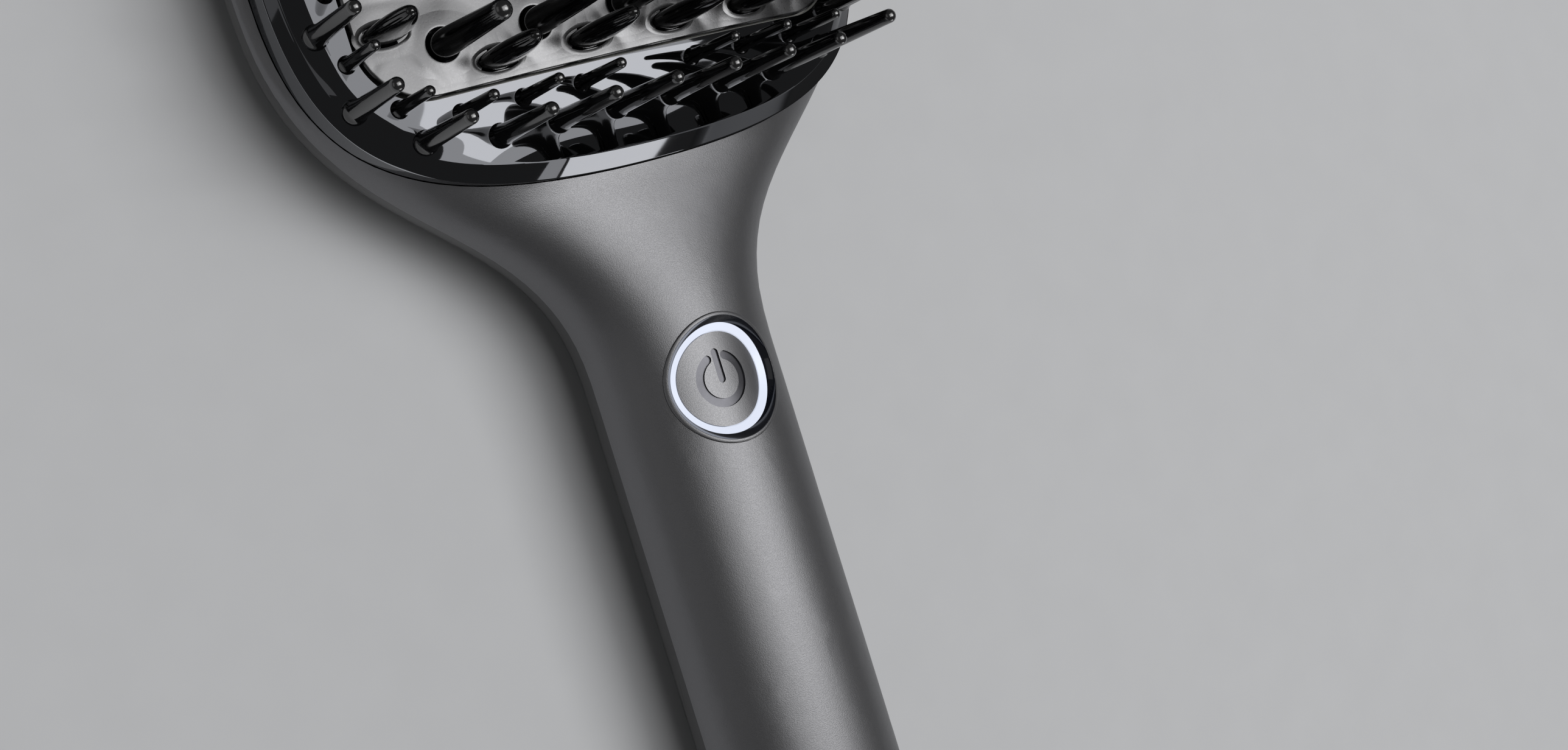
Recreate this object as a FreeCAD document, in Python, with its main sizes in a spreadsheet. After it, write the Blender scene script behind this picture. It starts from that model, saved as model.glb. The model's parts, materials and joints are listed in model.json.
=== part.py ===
import FreeCAD, Part
import math
import os

import Sketcher

# Steam hair straightener brush: a paddle head with a heated, steaming tooth plate and rows of
# ball-tipped pins, on a slim handle with a lit power button.  The brush lies on its back:
# X is across, +Y runs from the cord end to the head's crown, +Z is the way the bristles point.
# Each piece is built about the power button's centre, on the plane where the two handle
# shells meet, and its Placement then sets that point in the part's frame.

os.makedirs("parts", exist_ok=True)
doc = FreeCAD.newDocument("SteamBrush")
Vector = FreeCAD.Vector
UP = Vector(0, 0, 1)
ALONG = Vector(0, 1, 0)

# ---------------------------------------------------------------- driving dimensions
sheet = doc.addObject("Spreadsheet::Sheet", "Sizes")
SIZES = (
    # handle and neck
    ("handle_width", 28.7, "width of the grip"),
    ("handle_front", 12.1, "height of the grip's front above the parting plane"),
    ("back_depth", 12.0, "depth of the back below the parting plane"),
    ("handle_reach", 112.0, "button centre to the lower end of the shells"),
    ("grip_join", 32.0, "button centre to where the straight grip ends"),
    ("neck_start", 4.0, "button centre to where the neck begins to widen"),
    ("neck_handle_pull", 28.3, "length of the neck curve's tangent at the grip"),
    ("neck_head_pull", 35.4, "length of the neck curve's tangent at the head"),
    ("handle_fullness", 0.56, "roundness of the grip's section"),
    ("front_fullness", 0.70, "roundness of the head's front section"),
    ("back_fullness", 0.80, "roundness of the head's back section"),
    ("shell_wall", 2.0, "wall of the front shell"),
    ("back_wall", 2.4, "wall of the back shell"),
    ("rest_trim", 0.15, "material trimmed to make the back's flat rest"),
    ("crown_rise", 1.2, "how much shallower the back is at the crown"),
    # head
    ("head_width", 96.0, "width over the head"),
    ("rim_wall", 1.4, "wall between the mouth and the head's side"),
    ("lip_reach", 33.8, "length of each curved end of the mouth"),
    ("lip_straight", 45.0, "length of the mouth's straight sides"),
    ("lip_fullness", 0.744, "roundness of the mouth's ends"),
    ("button_to_lip", 31.5, "button centre to the mouth's lower end"),
    ("lip_low_level", 10.6, "height of the lip at the neck"),
    ("lip_side_level", 1.8, "height of the lip at the head's sides"),
    # chrome face and its stack
    ("deck_level", 13.0, "height of the face at its middle"),
    ("deck_radius", 202.0, "crown radius of the face across the head"),
    ("deck_wall", 1.6, "thickness of the face"),
    ("deck_chamfer_in", 1.7, "width of the face's bevelled edge"),
    ("deck_chamfer_down", 2.3, "height of the face's bevelled edge"),
    ("bezel_gap", 0.1, "gap between the face and the shell's mouth"),
    ("plate_side_inset", 8.5, "mouth's side to the heater plate"),
    ("plate_end_inset", 15.1, "mouth's end to the heater plate"),
    ("plate_corner", 9.0, "corner radius of the heater plate"),
    ("plate_proud", 1.0, "height of the plate above the face"),
    ("plate_bevel", 0.6, "bevel round the plate"),
    ("plate_gap", 0.15, "gap between the plate and the face"),
    ("frame_side_inset", 4.6, "mouth's side to the heater frame"),
    ("frame_end_inset", 11.3, "mouth's end to the heater frame"),
    ("frame_corner", 12.0, "outer corner radius of the heater frame"),
    ("frame_rim", 0.7, "width of the plate's edge that the frame carries"),
    ("heater_layer", 2.4, "thickness of the heater frame and bars"),
    ("bar_width", 4.4, "width of a heater bar"),
    ("bar_end_inset", 8.1, "plate's side to the end of a heater bar"),
    ("manifold_wall", 2.0, "thickness of the steam manifold"),
    ("steam_port", 1.6, "bore of a steam port"),
    ("chamber_side_inset", 12.0, "heater frame's side to the steam chamber"),
    ("chamber_end_inset", 13.0, "heater frame's end to the steam chamber"),
    ("chamber_floor", 1.0, "height of the chamber's underside"),
    ("chamber_wall", 1.6, "wall of the steam chamber"),
    # bristles
    ("tooth_side_inset", 11.1, "plate's side to the outer column of round teeth"),
    ("tooth_end_inset", 6.31, "plate's end to the last row of round teeth"),
    ("tooth_base", 4.3, "diameter of a round tooth at the plate"),
    ("tooth_tip", 2.8, "diameter of a round tooth's ball tip"),
    ("tooth_length", 19.0, "height of a round tooth above the plate"),
    ("tooth_hole", 6.1, "bore round a round tooth"),
    ("fin_inset", 2.8, "plate edge to the centre of the end row of fins"),
    ("fin_side_inset", 3.9, "plate edge to the centre of the side row of fins"),
    ("fin_corner_inset", 9.3, "plate's end to the last fin up a side"),
    ("fin_width", 5.8, "long way across a fin tooth"),
    ("fin_thickness", 3.0, "short way across a fin tooth"),
    ("fin_length", 13.5, "height of a fin tooth above the plate"),
    ("fin_gap", 0.6, "gap round a fin tooth in the plate"),
    ("fin_lift", 0.05, "gap under a fin tooth"),
    ("fin_cut_share", 0.985, "how far up its full oval a fin tooth is cut off"),
    ("fin_belly", 2.6, "fullness of a fin tooth's sides"),
    ("row_side_inset", 19.6, "mouth's side to the end of the end rows of pins"),
    ("side_end_inset", 26.3, "mouth's end to the end of the side rows of pins"),
    ("pin_side_inset", 4.3, "mouth's side to the side row of large pins"),
    ("pin_end_inset", 8.2, "mouth's end to the end row of large pins"),
    ("pin_base", 2.8, "diameter of a large pin at its foot"),
    ("pin_tip", 2.0, "diameter of a large pin's ball tip"),
    ("pin_length", 16.9, "height of a large pin"),
    ("small_side_inset", 7.0, "mouth's side to the side row of small pins"),
    ("small_end_inset", 12.3, "mouth's end to the end row of small pins"),
    ("small_base", 1.9, "diameter of a small pin at its foot"),
    ("small_tip", 1.5, "diameter of a small pin's ball tip"),
    ("small_length", 12.0, "height of a small pin"),
    ("pin_splay", 0.119, "outward lean of the pins, degrees for each mm from the middle"),
    ("pin_lift", 0.2, "gap under a pin's foot"),
    ("pin_corner_side_inset", 14.0, "mouth's side to a corner pin"),
    ("pin_corner_end_inset", 9.8, "mouth's end to a corner pin"),
    ("pin_turn_side_inset", 6.4, "mouth's side to the next pin round a corner"),
    ("pin_turn_end_inset", 15.9, "mouth's end to the next pin round a corner"),
    ("small_corner_side_inset", 11.8, "mouth's side to a small corner pin"),
    ("small_corner_end_inset", 14.7, "mouth's end to a small corner pin"),
    ("small_turn_end_inset", 21.9, "mouth's end to the last small pin up a side"),
    # power button
    ("ring_diameter", 18.3, "outside of the button's bezel"),
    ("light_outer", 16.1, "outside of the lit ring"),
    ("cap_diameter", 14.0, "diameter of the button cap"),
    ("drape_radius", 17.0, "radius of the grip's front that the button follows"),
    ("ring_proud", 0.25, "height of the bezel's edge above the grip"),
    ("ring_slope", 0.75, "fall of the bezel's bevel towards the lit ring"),
    ("light_sink", 0.4, "depth of the lit ring below the grip"),
    ("cap_sink", 0.45, "depth of the cap below the grip"),
    ("ring_flange_level", 4.8, "height of the bezel's inner flange"),
    ("ring_flange", 0.8, "thickness of the bezel's inner flange"),
    ("flange_bore", 9.8, "bore of the bezel's inner flange"),
    ("cap_skirt_level", 8.3, "height of the cap's underside"),
    ("latch_diameter", 11.0, "outside of the cap's latch below the flange"),
    ("latch_gap", 0.3, "gap between the latch and the flange"),
    ("latch_height", 0.7, "height of the latch"),
    ("slide_gap", 0.1, "radial gap round the button's sliding faces"),
    # electronics in the grip
    ("board_width", 17.0, "width of the control board"),
    ("board_end_inset", 34.0, "shells' lower end to the control board"),
    ("board_high", 14.0, "button centre to the board's upper end"),
    ("board_thickness", 1.6, "thickness of the control board"),
    ("standoff_diameter", 4.0, "diameter of the board's standoffs"),
    ("standoff_low_inset", 10.0, "board's lower end to the lower standoffs"),
    ("standoff_high_inset", 4.0, "board's upper end to the upper standoffs"),
    ("standoff_side_inset", 2.5, "board's side to the standoffs"),
    ("switch_side", 4.5, "side of the tact switch"),
    ("switch_height", 3.5, "height of the tact switch"),
    ("plunger_diameter", 3.4, "diameter of the switch's plunger"),
    ("plunger_rise", 0.8, "height of the plunger above the switch"),
    ("plunger_depth", 1.5, "length of the plunger inside the switch"),
    ("led_side", 1.4, "side of a ring light"),
    ("led_height", 0.9, "height of a ring light"),
    ("module_width", 11.0, "width of the power module"),
    ("module_length", 22.0, "length of the power module"),
    ("module_height", 6.0, "height of the power module"),
    ("module_slot", 1.2, "width of a cooling slot in the power module"),
    ("module_slot_depth", 1.5, "depth of a cooling slot"),
    ("module_slot_pitch", 4.0, "spacing of the cooling slots"),
    ("module_inset", 38.0, "board's lower end to the middle of the power module"),
    ("terminal_width", 13.0, "width of the mains terminals"),
    ("terminal_length", 8.0, "length of the mains terminals"),
    ("terminal_height", 6.0, "height of the mains terminals"),
    ("wire_bore", 2.4, "bore for a wire in the mains terminals"),
    ("wire_spacing", 6.4, "spacing of the wires in the mains terminals"),
    ("terminal_inset", 6.0, "board's lower end to the middle of the mains terminals"),
    # water
    ("tank_side_inset", 18.0, "head's side to the water tank"),
    ("tank_low_inset", 30.5, "mouth's lower end to the tank"),
    ("tank_high_inset", 24.1, "mouth's upper end to the tank"),
    ("tank_top", 0.2, "height of the tank's top"),
    ("tank_height", 8.8, "height of the tank"),
    ("tank_wall", 1.2, "wall of the tank"),
    ("filler_depth", 4.4, "depth of the filler's middle below the parting plane"),
    ("filler_bore", 6.0, "bore of the filler"),
    ("filler_outer", 8.0, "outside of the tank's filler neck"),
    ("plug_head", 8.2, "diameter of the filler plug's head"),
    ("plug_seat", 1.2, "depth of the plug's seat in the crown"),
    ("plug_proud", 0.5, "height of the plug above the crown"),
    ("plug_stem", 6.5, "length of the plug's stem"),
    ("plug_groove", 0.55, "depth of the plug's seal groove"),
    ("seal_section", 0.56, "section of the plug's seal"),
    ("sheet_wall", 0.6, "thickness of the insulation sheet"),
    ("pump_inset", 4.5, "mouth's lower end to the pump"),
    ("pump_length", 14.0, "length of the pump"),
    ("pump_width", 16.0, "width of the pump"),
    ("pump_depth", 9.2, "depth of the pump below the parting plane"),
    ("coil_diameter", 10.0, "diameter of the pump's coil"),
    ("coil_top", 5.8, "height of the pump's coil"),
    ("tube_outer", 4.0, "outside of the water tubes"),
    ("tube_bore", 2.2, "bore of the water tubes"),
    ("feed_level", 3.4, "height of the feed tube"),
    ("suction_level", 4.7, "depth of the suction tube"),
    ("sensor_diameter", 3.0, "diameter of the fuse and of the sensor"),
    ("sensor_side_inset", 7.5, "heater frame's side to the fuse and the sensor"),
    ("fuse_length", 12.0, "length of the thermal fuse"),
    ("sensor_length", 7.0, "length of the temperature sensor"),
    ("post_side_inset", 8.5, "head's side to the support posts"),
    ("post_end_inset", 34.3, "mouth's end to the support posts"),
    ("post_diameter", 5.0, "diameter of the support posts"),
    # screws
    ("screw_end_inset", 14.0, "shells' lower end to the lower housing screw"),
    ("screw_high", 19.0, "button centre to the upper housing screw"),
    ("boss_diameter", 7.6, "diameter of the screw bosses"),
    ("screw_shank", 2.8, "diameter of the housing screws"),
    ("screw_head", 5.2, "diameter of the screw heads"),
    ("screw_head_height", 2.0, "height of the screw heads"),
    ("screw_sink", 3.2, "depth of the screw heads' seats"),
    ("screw_reach", 7.0, "height of the screws' points above the parting plane"),
    ("screw_gap", 0.05, "radial gap round the screws"),
    # cord end
    ("cap_length", 7.5, "length of the end cap beyond the shells"),
    ("cap_spigot", 6.0, "length of the end cap's spigot in the shells"),
    ("cap_wall", 2.4, "end wall of the end cap"),
    ("swivel_neck", 10.8, "diameter of the cord swivel's neck"),
    ("swivel_shoulder", 13.0, "diameter of the cord swivel's shoulder"),
    ("swivel_tip", 9.6, "diameter of the cord swivel's tip"),
    ("swivel_length", 12.0, "length of the cord swivel outside the cap"),
    ("cord_bore", 6.4, "bore for the cord"),
    ("swivel_gap", 0.2, "end play of the cord swivel"),
    ("clip_diameter", 13.6, "outside of the swivel's retaining ring"),
    ("clip_thickness", 1.2, "thickness of the swivel's retaining ring"),
)
# Sizes that follow from the ones above: the mouth follows the head, the plate and all that
# belongs to it follow the mouth, and the electronics follow the shells' lower end.
FOLLOWING = (
    ("lip_width", "=head_width - 2 * rim_wall", "width of the front shell's oval mouth"),
    ("mouth_length", "=lip_straight + 2 * lip_reach", "length of the mouth"),
    ("plate_width", "=lip_width - 2 * plate_side_inset", "width of the heater plate"),
    ("plate_length", "=mouth_length - 2 * plate_end_inset", "length of the heater plate"),
    ("frame_width", "=lip_width - 2 * frame_side_inset", "width of the heater frame"),
    ("frame_length", "=mouth_length - 2 * frame_end_inset", "length of the heater frame"),
    ("bar_length", "=plate_width - 2 * bar_end_inset", "length of a heater bar"),
    ("chamber_width", "=frame_width - 2 * chamber_side_inset", "width of the steam chamber"),
    ("chamber_length", "=frame_length - 2 * chamber_end_inset", "length of the steam chamber"),
    ("tooth_pitch", "=(plate_width / 2 - tooth_side_inset) / 2", "spacing of the teeth across"),
    ("row_pitch", "=(plate_length / 2 - tooth_end_inset) / 3", "spacing of the tooth rows"),
    ("fin_side_pitch", "=(plate_length / 2 - fin_corner_inset) / 2.5", "spacing of the side fins"),
    ("pin_pitch", "=(lip_width / 2 - row_side_inset) / 3", "spacing of the pins in the end rows"),
    ("pin_side_pitch", "=(mouth_length / 2 - side_end_inset) / 3", "spacing of the side pins"),
    ("pin_side_reach", "=lip_width / 2 - pin_side_inset", "head's middle to the side row"),
    ("pin_row_reach", "=mouth_length / 2 - pin_end_inset", "head's middle to the end row"),
    ("small_side_reach", "=lip_width / 2 - small_side_inset", "the same for the small pins"),
    ("small_row_reach", "=mouth_length / 2 - small_end_inset", "the same for the small pins"),
    ("pin_corner_across", "=lip_width / 2 - pin_corner_side_inset", "corner pin, across"),
    ("pin_corner_along", "=mouth_length / 2 - pin_corner_end_inset", "corner pin, along"),
    ("pin_turn_across", "=lip_width / 2 - pin_turn_side_inset", "next pin, across"),
    ("pin_turn_along", "=mouth_length / 2 - pin_turn_end_inset", "next pin, along"),
    ("small_corner_across", "=lip_width / 2 - small_corner_side_inset", "small corner pin, across"),
    ("small_corner_along", "=mouth_length / 2 - small_corner_end_inset", "small corner pin, along"),
    ("small_turn_along", "=mouth_length / 2 - small_turn_end_inset", "last small pin, along"),
    ("post_reach", "=head_width / 2 - post_side_inset", "head's middle to the support posts"),
    ("post_spacing", "=mouth_length - 2 * post_end_inset", "spacing of the support posts"),
    ("sensor_reach", "=frame_width / 2 - sensor_side_inset", "head's middle to the sensors"),
    ("tank_width", "=head_width - 2 * tank_side_inset", "width of the water tank"),
    ("tank_low", "=button_to_lip + tank_low_inset", "button centre to the tank"),
    ("tank_length", "=mouth_length - tank_low_inset - tank_high_inset", "length of the tank"),
    ("pump_low", "=button_to_lip + pump_inset", "button centre to the pump"),
    ("screw_low", "=handle_reach - screw_end_inset", "button centre to the lower screw"),
    ("board_low", "=handle_reach - board_end_inset", "button centre to the board's lower end"),
    ("terminal_place", "=board_low - terminal_inset", "button centre to the mains terminals"),
    ("module_place", "=board_low - module_inset", "button centre to the power module"),
)
for row, (alias, value, meaning) in enumerate(SIZES + FOLLOWING, start=1):
    sheet.set(f"A{row}", meaning)
    sheet.set(f"B{row}", str(value))
    sheet.setAlias(f"B{row}", alias)
doc.recompute()


def size(alias):
    """Value of one driving dimension, read from the sheet."""
    return float(getattr(sheet, alias))


# Values that several pieces share, worked out from the driving dimensions.
lip_half = size("lip_width") / 2
head_half = size("head_width") / 2
grip_half = size("handle_width") / 2
rim_wall = size("rim_wall")
lip_low = size("button_to_lip")
head_start = lip_low + size("lip_reach")
head_middle = head_start + size("lip_straight") / 2
crown_start = head_start + size("lip_straight")
outer_reach = size("lip_reach") + rim_wall
CROWN_END = 0.88
plate_top = size("plate_proud")
frame_top = -size("deck_wall")
manifold_top = frame_top - size("heater_layer")
manifold_under = manifold_top - size("manifold_wall")


def quarter(fullness, step):
    """Point of a Bezier quarter oval that runs from (1, 0) to (0, 1)."""
    back = 1 - step
    first = 3 * back ** 2 * step
    second = 3 * back * step ** 2
    return back ** 3 + first + fullness * second, fullness * first + second + step ** 3


def quarter_rise(fullness, across):
    """Height of the quarter oval at a share of its width."""
    low = 0.0
    high = 1.0
    for _ in range(40):
        middle = (low + high) / 2
        if quarter(fullness, middle)[0] > across:
            low = middle
        else:
            high = middle
    return quarter(fullness, low)[1]


crown_end = crown_start + outer_reach * quarter(size("lip_fullness"), CROWN_END)[1]
tail_end = size("handle_reach") + size("cap_length") + size("swivel_gap") + size("swivel_length")
home_y = (tail_end - crown_end - size("plug_proud")) / 2
HOME = FreeCAD.Placement(Vector(0, home_y, size("back_depth")), FreeCAD.Rotation())
nodes = []


def keep(thing, label):
    """Name a finished sub-part and set it in the part's frame."""
    thing.Label = label
    thing.Placement = HOME
    nodes.append(thing)
    return thing


def feature(label, shape):
    """Sub-part whose form is free, so its shape is made directly."""
    thing = doc.addObject("Part::Feature", label)
    thing.Shape = shape
    return keep(thing, label)


# ---------------------------------------------------------------- forms of the shells
def mouth_half(place):
    """Half width of the front shell's mouth at a place along the brush."""
    share = (abs(place - head_middle) - size("lip_straight") / 2) / size("lip_reach")
    if share <= 0:
        return lip_half
    if share >= 1:
        return 0.0
    return lip_half * quarter_rise(size("lip_fullness"), share)


def stations(inset):
    """Places along the brush, each with its half width and how far it is from grip to head."""
    grip_steps = 6
    neck_steps = 12
    crown_steps = (0.12, 0.24, 0.36, 0.48, 0.60, 0.70, 0.80, CROWN_END)
    low = -size("grip_join")
    found = []
    for step in range(grip_steps + 1):
        place = low + (size("neck_start") - low) * step / grip_steps
        found.append((place, grip_half - inset, 0.0))
    near = size("neck_start") + size("neck_handle_pull")
    far = head_start - size("neck_head_pull")
    for step in range(1, neck_steps + 1):
        at = step / neck_steps
        back = 1 - at
        place = (back ** 3 * size("neck_start") + 3 * back ** 2 * at * near
                 + 3 * back * at ** 2 * far + at ** 3 * head_start)
        blend = at ** 2 * (3 - 2 * at)
        found.append((place, grip_half + (head_half - grip_half) * blend - inset, blend))
    found.append((head_middle, head_half - inset, 1.0))
    found.append((crown_start, head_half - inset, 1.0))
    for step in crown_steps:
        across, rise = quarter(size("lip_fullness"), step)
        place = crown_start + (outer_reach - inset) * rise
        found.append((place, (head_half - inset) * across, 1.0))
    return found


def front_height(place, half, fullness):
    """Height of the front over the brush's middle: it puts the lip at its level."""
    reach = mouth_half(place)
    if reach <= 0:
        share = min(max((place - size("neck_start")) / (lip_low - size("neck_start")), 0.0), 1.0)
        fall = share ** 2 * (3 - 2 * share)
        return size("handle_front") + (size("lip_low_level") - size("handle_front")) * fall
    drop = size("lip_low_level") - size("lip_side_level")
    level = size("lip_low_level") - drop * (reach / lip_half) ** 2
    return level / quarter_rise(fullness, min(reach / half, 0.985))


def half_section(place, half, height, fullness, past):
    """Closed outline of half a section: an arch over a straight foot, across the brush."""
    curves = []
    for side in (1, -1):
        poles = [Vector(side * half, place, 0), Vector(side * half, place, fullness * height),
                 Vector(side * fullness * half, place, height), Vector(0, place, height)]
        if side < 0:
            poles.reverse()
        arch = Part.BezierCurve()
        arch.setPoles(poles)
        curves.append(arch.toShape())
    right = Vector(half, place, 0)
    left = Vector(-half, place, 0)
    if past == 0:
        return Part.Wire(curves + [Part.makeLine(left, right)])
    low_right = Vector(half, place, past)
    low_left = Vector(-half, place, past)
    feet = [Part.makeLine(left, low_left), Part.makeLine(low_left, low_right),
            Part.makeLine(low_right, right)]
    return Part.Wire(curves + feet)


def with_grip(outlines):
    """Loft through the sections, joined to the straight grip below the first of them."""
    loft = Part.makeLoft(outlines, True, False)
    straight = size("handle_reach") - size("grip_join")
    return loft.fuse(Part.Face(outlines[0]).extrude(-straight * ALONG))


def front_form(inset, past, end):
    """Solid of the front, from the shells' lower end to the last station before an end."""
    outlines = []
    for (place, half, blend), (_, outer_half, _) in zip(stations(inset), stations(0)):
        if place > end:
            break
        fullness = size("handle_fullness") + (size("front_fullness") - size("handle_fullness")) * blend
        height = front_height(place, outer_half, fullness) - inset
        outlines.append(half_section(place, half, height, fullness, past))
    return with_grip(outlines)


def back_form(inset, past):
    """Solid of the back, whose depth is nearly the same from end to end."""
    outlines = []
    for place, half, blend in stations(inset):
        fullness = size("handle_fullness") + (size("back_fullness") - size("handle_fullness")) * blend
        share = max(place - crown_start, 0.0) / outer_reach
        depth = size("back_depth") + size("rest_trim") - size("crown_rise") * share ** 3 - inset
        outlines.append(half_section(place, half, -depth, fullness, past))
    return with_grip(outlines)


def oval_prism(inset, low, high):
    """Upright prism on the mouth's oval, drawn in by inset."""
    half = lip_half - inset
    straight = size("lip_straight") / 2
    reach = size("lip_reach") - inset
    pull = size("lip_fullness")
    curves = []
    for up in (-1, 1):
        edge = head_middle + up * straight
        for side in (-1, 1):
            arch = Part.BezierCurve()
            arch.setPoles([Vector(side * half, edge, low),
                           Vector(side * half, edge + up * pull * reach, low),
                           Vector(side * pull * half, edge + up * reach, low),
                           Vector(0, edge + up * reach, low)])
            curves.append(arch.toShape())
    for side in (-1, 1):
        curves.append(Part.makeLine(Vector(side * half, head_middle - straight, low),
                                    Vector(side * half, head_middle + straight, low)))
    outline = Part.Wire(Part.__sortEdges__(curves))
    return Part.Face(outline).extrude(UP * (high - low))


def rounded_prism(width, length, corner, low, high):
    """Upright prism on a rounded rectangle about the middle of the head."""
    block = Part.makeBox(width, length, high - low,
                         Vector(-width / 2, head_middle - length / 2, low))
    upright = [edge for edge in block.Edges if abs(edge.tangentAt(edge.FirstParameter).z) > 0.9]
    return block.makeFillet(corner, upright)


def crown(offset):
    """Round bar whose top is the face's crowned surface, moved out by offset."""
    radius = size("deck_radius")
    length = 2 * size("head_width")
    start = Vector(0, head_middle - length / 2, size("deck_level") - radius)
    return Part.makeCylinder(radius + offset, length, start, ALONG)


def crown_level(across, offset):
    """Height of the crowned surface, moved out by offset, at a distance from the middle."""
    radius = size("deck_radius")
    return size("deck_level") - radius + math.sqrt((radius + offset) ** 2 - across ** 2)


def seat_level(across, half, offset):
    """Height at which a flat foot clears the crowned surface."""
    return crown_level(max(abs(across) - half, 0), offset)


def post(diameter, across, place, low, high):
    """Upright round bar."""
    return Part.makeCylinder(diameter / 2, high - low, Vector(across, place, low), UP)


SKY = size("deck_level") + 10
screw_places = (-size("screw_low"), size("screw_high"))
standoff_places = [(side * (size("board_width") / 2 - size("standoff_side_inset")), place)
                   for side in (-1, 1)
                   for place in (size("standoff_low_inset") - size("board_low"),
                                 size("board_high") - size("standoff_high_inset"))]

# ---------------------------------------------------------------- front housing
front = front_form(0, 0, crown_end)
front = front.cut(front_form(size("shell_wall"), -1, head_start))
front = front.cut(oval_prism(0, -1, SKY))
for place in screw_places:
    height = front_height(place, grip_half, size("handle_fullness")) - size("shell_wall") / 2
    boss = post(size("boss_diameter"), 0, place, 0, height)
    pilot = post(size("screw_shank") + 2 * size("screw_gap"), 0, place, -1, size("screw_reach") + 0.5)
    front = front.fuse(boss).cut(pilot)
front = front.cut(post(size("ring_diameter") + size("slide_gap"), 0, 0, 0, SKY))
feature("front_housing", front.removeSplitter())

# ---------------------------------------------------------------- back housing
back = back_form(0, 0)
back = back.cut(back_form(size("back_wall"), 1))
floor_line = -size("back_depth") + size("back_wall") / 2
for place in screw_places:
    back = back.fuse(post(size("boss_diameter"), 0, place, floor_line, 0))
for across, place in standoff_places:
    back = back.fuse(post(size("standoff_diameter"), across, place, floor_line + 1, 0))
footing = back_form(size("back_wall") / 2, SKY)
for side in (-1, 1):
    for end in (-1, 1):
        place = head_middle + end * size("post_spacing") / 2
        across = side * size("post_reach")
        pillar = post(size("post_diameter"), across, place, -size("back_depth"), size("deck_level"))
        back = back.fuse(pillar.common(footing).common(crown(manifold_under)))
sink_low = -size("back_depth") - 1
for place in screw_places:
    back = back.cut(post(size("screw_shank") + 2 * size("screw_gap"), 0, place, sink_low, 1))
    back = back.cut(post(size("screw_head") + 0.4, 0, place, sink_low,
                         -size("back_depth") + size("screw_sink")))
rest_cut = Part.makeBox(4 * head_half, 4 * crown_end, size("back_depth"),
                        Vector(-2 * head_half, -2 * crown_end, -2 * size("back_depth")))
back = back.cut(rest_cut)
filler_centre = Vector(0, crown_end - size("back_wall") - 1, -size("filler_depth"))
back = back.cut(Part.makeCylinder(size("filler_bore") / 2, size("back_wall") + 2, filler_centre, ALONG))
seat_start = Vector(0, crown_end - size("plug_seat"), -size("filler_depth"))
back = back.cut(Part.makeCylinder(size("plug_head") / 2 + size("slide_gap"), size("plug_seat") + 1,
                                  seat_start, ALONG))
feature("back_housing", back.removeSplitter())

# ---------------------------------------------------------------- ways of making the other pieces
def bind(thing, settings):
    """Bind properties of an object to the sheet."""
    for path, text in settings.items():
        thing.setExpression(path, text)


def new_body(label):
    """Empty PartDesign body for one sub-part."""
    body = doc.addObject("PartDesign::Body", label)
    return keep(body, label)


def new_sketch(body, role, level="0"):
    """Sketch on one of the body's own origin planes, raised to a level."""
    sketch = body.newObject("Sketcher::SketchObject", f"{body.Name}_sketch")
    plane = next(item for item in body.Origin.OriginFeatures if item.Role == role)
    sketch.AttachmentSupport = [(plane, "")]
    sketch.MapMode = "FlatFace"
    if level != "0":
        sketch.setExpression("AttachmentOffset.Base.z", level)
    return sketch


def fix_point(sketch, line, end, across, up):
    """Hold a point at a distance across and a distance up from the sketch's origin."""
    for kind, axis, text in (("DistanceX", -2, across), ("DistanceY", -1, up)):
        if text == "0":
            sketch.addConstraint(Sketcher.Constraint("PointOnObject", line, end, axis))
            continue
        number = sketch.addConstraint(Sketcher.Constraint(kind, -1, 1, line, end, 1.0 + line))
        sketch.setExpression(f"Constraints[{number}]", text)


def outline(sketch, corners):
    """Closed outline of straight sides; each corner is a pair of expressions."""
    count = len(corners)
    start = [Vector(5 + 3 * math.cos(2 * math.pi * k / count),
                    5 + 3 * math.sin(2 * math.pi * k / count), 0) for k in range(count)]
    lines = [sketch.addGeometry(Part.LineSegment(start[k], start[(k + 1) % count]), False)
             for k in range(count)]
    for k in range(count):
        follower = lines[(k + 1) % count]
        sketch.addConstraint(Sketcher.Constraint("Coincident", lines[k], 2, follower, 1))
    for k, (across, up) in enumerate(corners):
        fix_point(sketch, lines[k], 1, across, up)


def circle(sketch, diameter, across="0", up="0"):
    """Circle at a place in the sketch."""
    ring = sketch.addGeometry(Part.Circle(Vector(1, 1, 0), UP, 1), False)
    number = sketch.addConstraint(Sketcher.Constraint("Diameter", ring, 2.0))
    sketch.setExpression(f"Constraints[{number}]", diameter)
    fix_point(sketch, ring, 3, across, up)


def turned(label, plane, corners):
    """Body turned about the upright axis of a sketch."""
    body = new_body(label)
    sketch = new_sketch(body, plane)
    outline(sketch, corners)
    turn = body.newObject("PartDesign::Revolution", f"{label}_turn")
    turn.Profile = sketch
    turn.ReferenceAxis = (sketch, ["V_Axis"])
    turn.Angle = 360
    return body


def drape(body, level):
    """Trim a body's top to the round of the grip's front, at a level over its middle."""
    sketch = new_sketch(body, "XZ_Plane")
    middle = f"{level} - Sizes.drape_radius"
    circle(sketch, "2 * Sizes.drape_radius", "0", middle)
    circle(sketch, "5 * Sizes.drape_radius", "0", middle)
    trim = body.newObject("PartDesign::Pocket", f"{body.Name}_drape")
    trim.Profile = sketch
    trim.Midplane = True
    trim.setExpression("Length", "3 * Sizes.ring_diameter")


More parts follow.
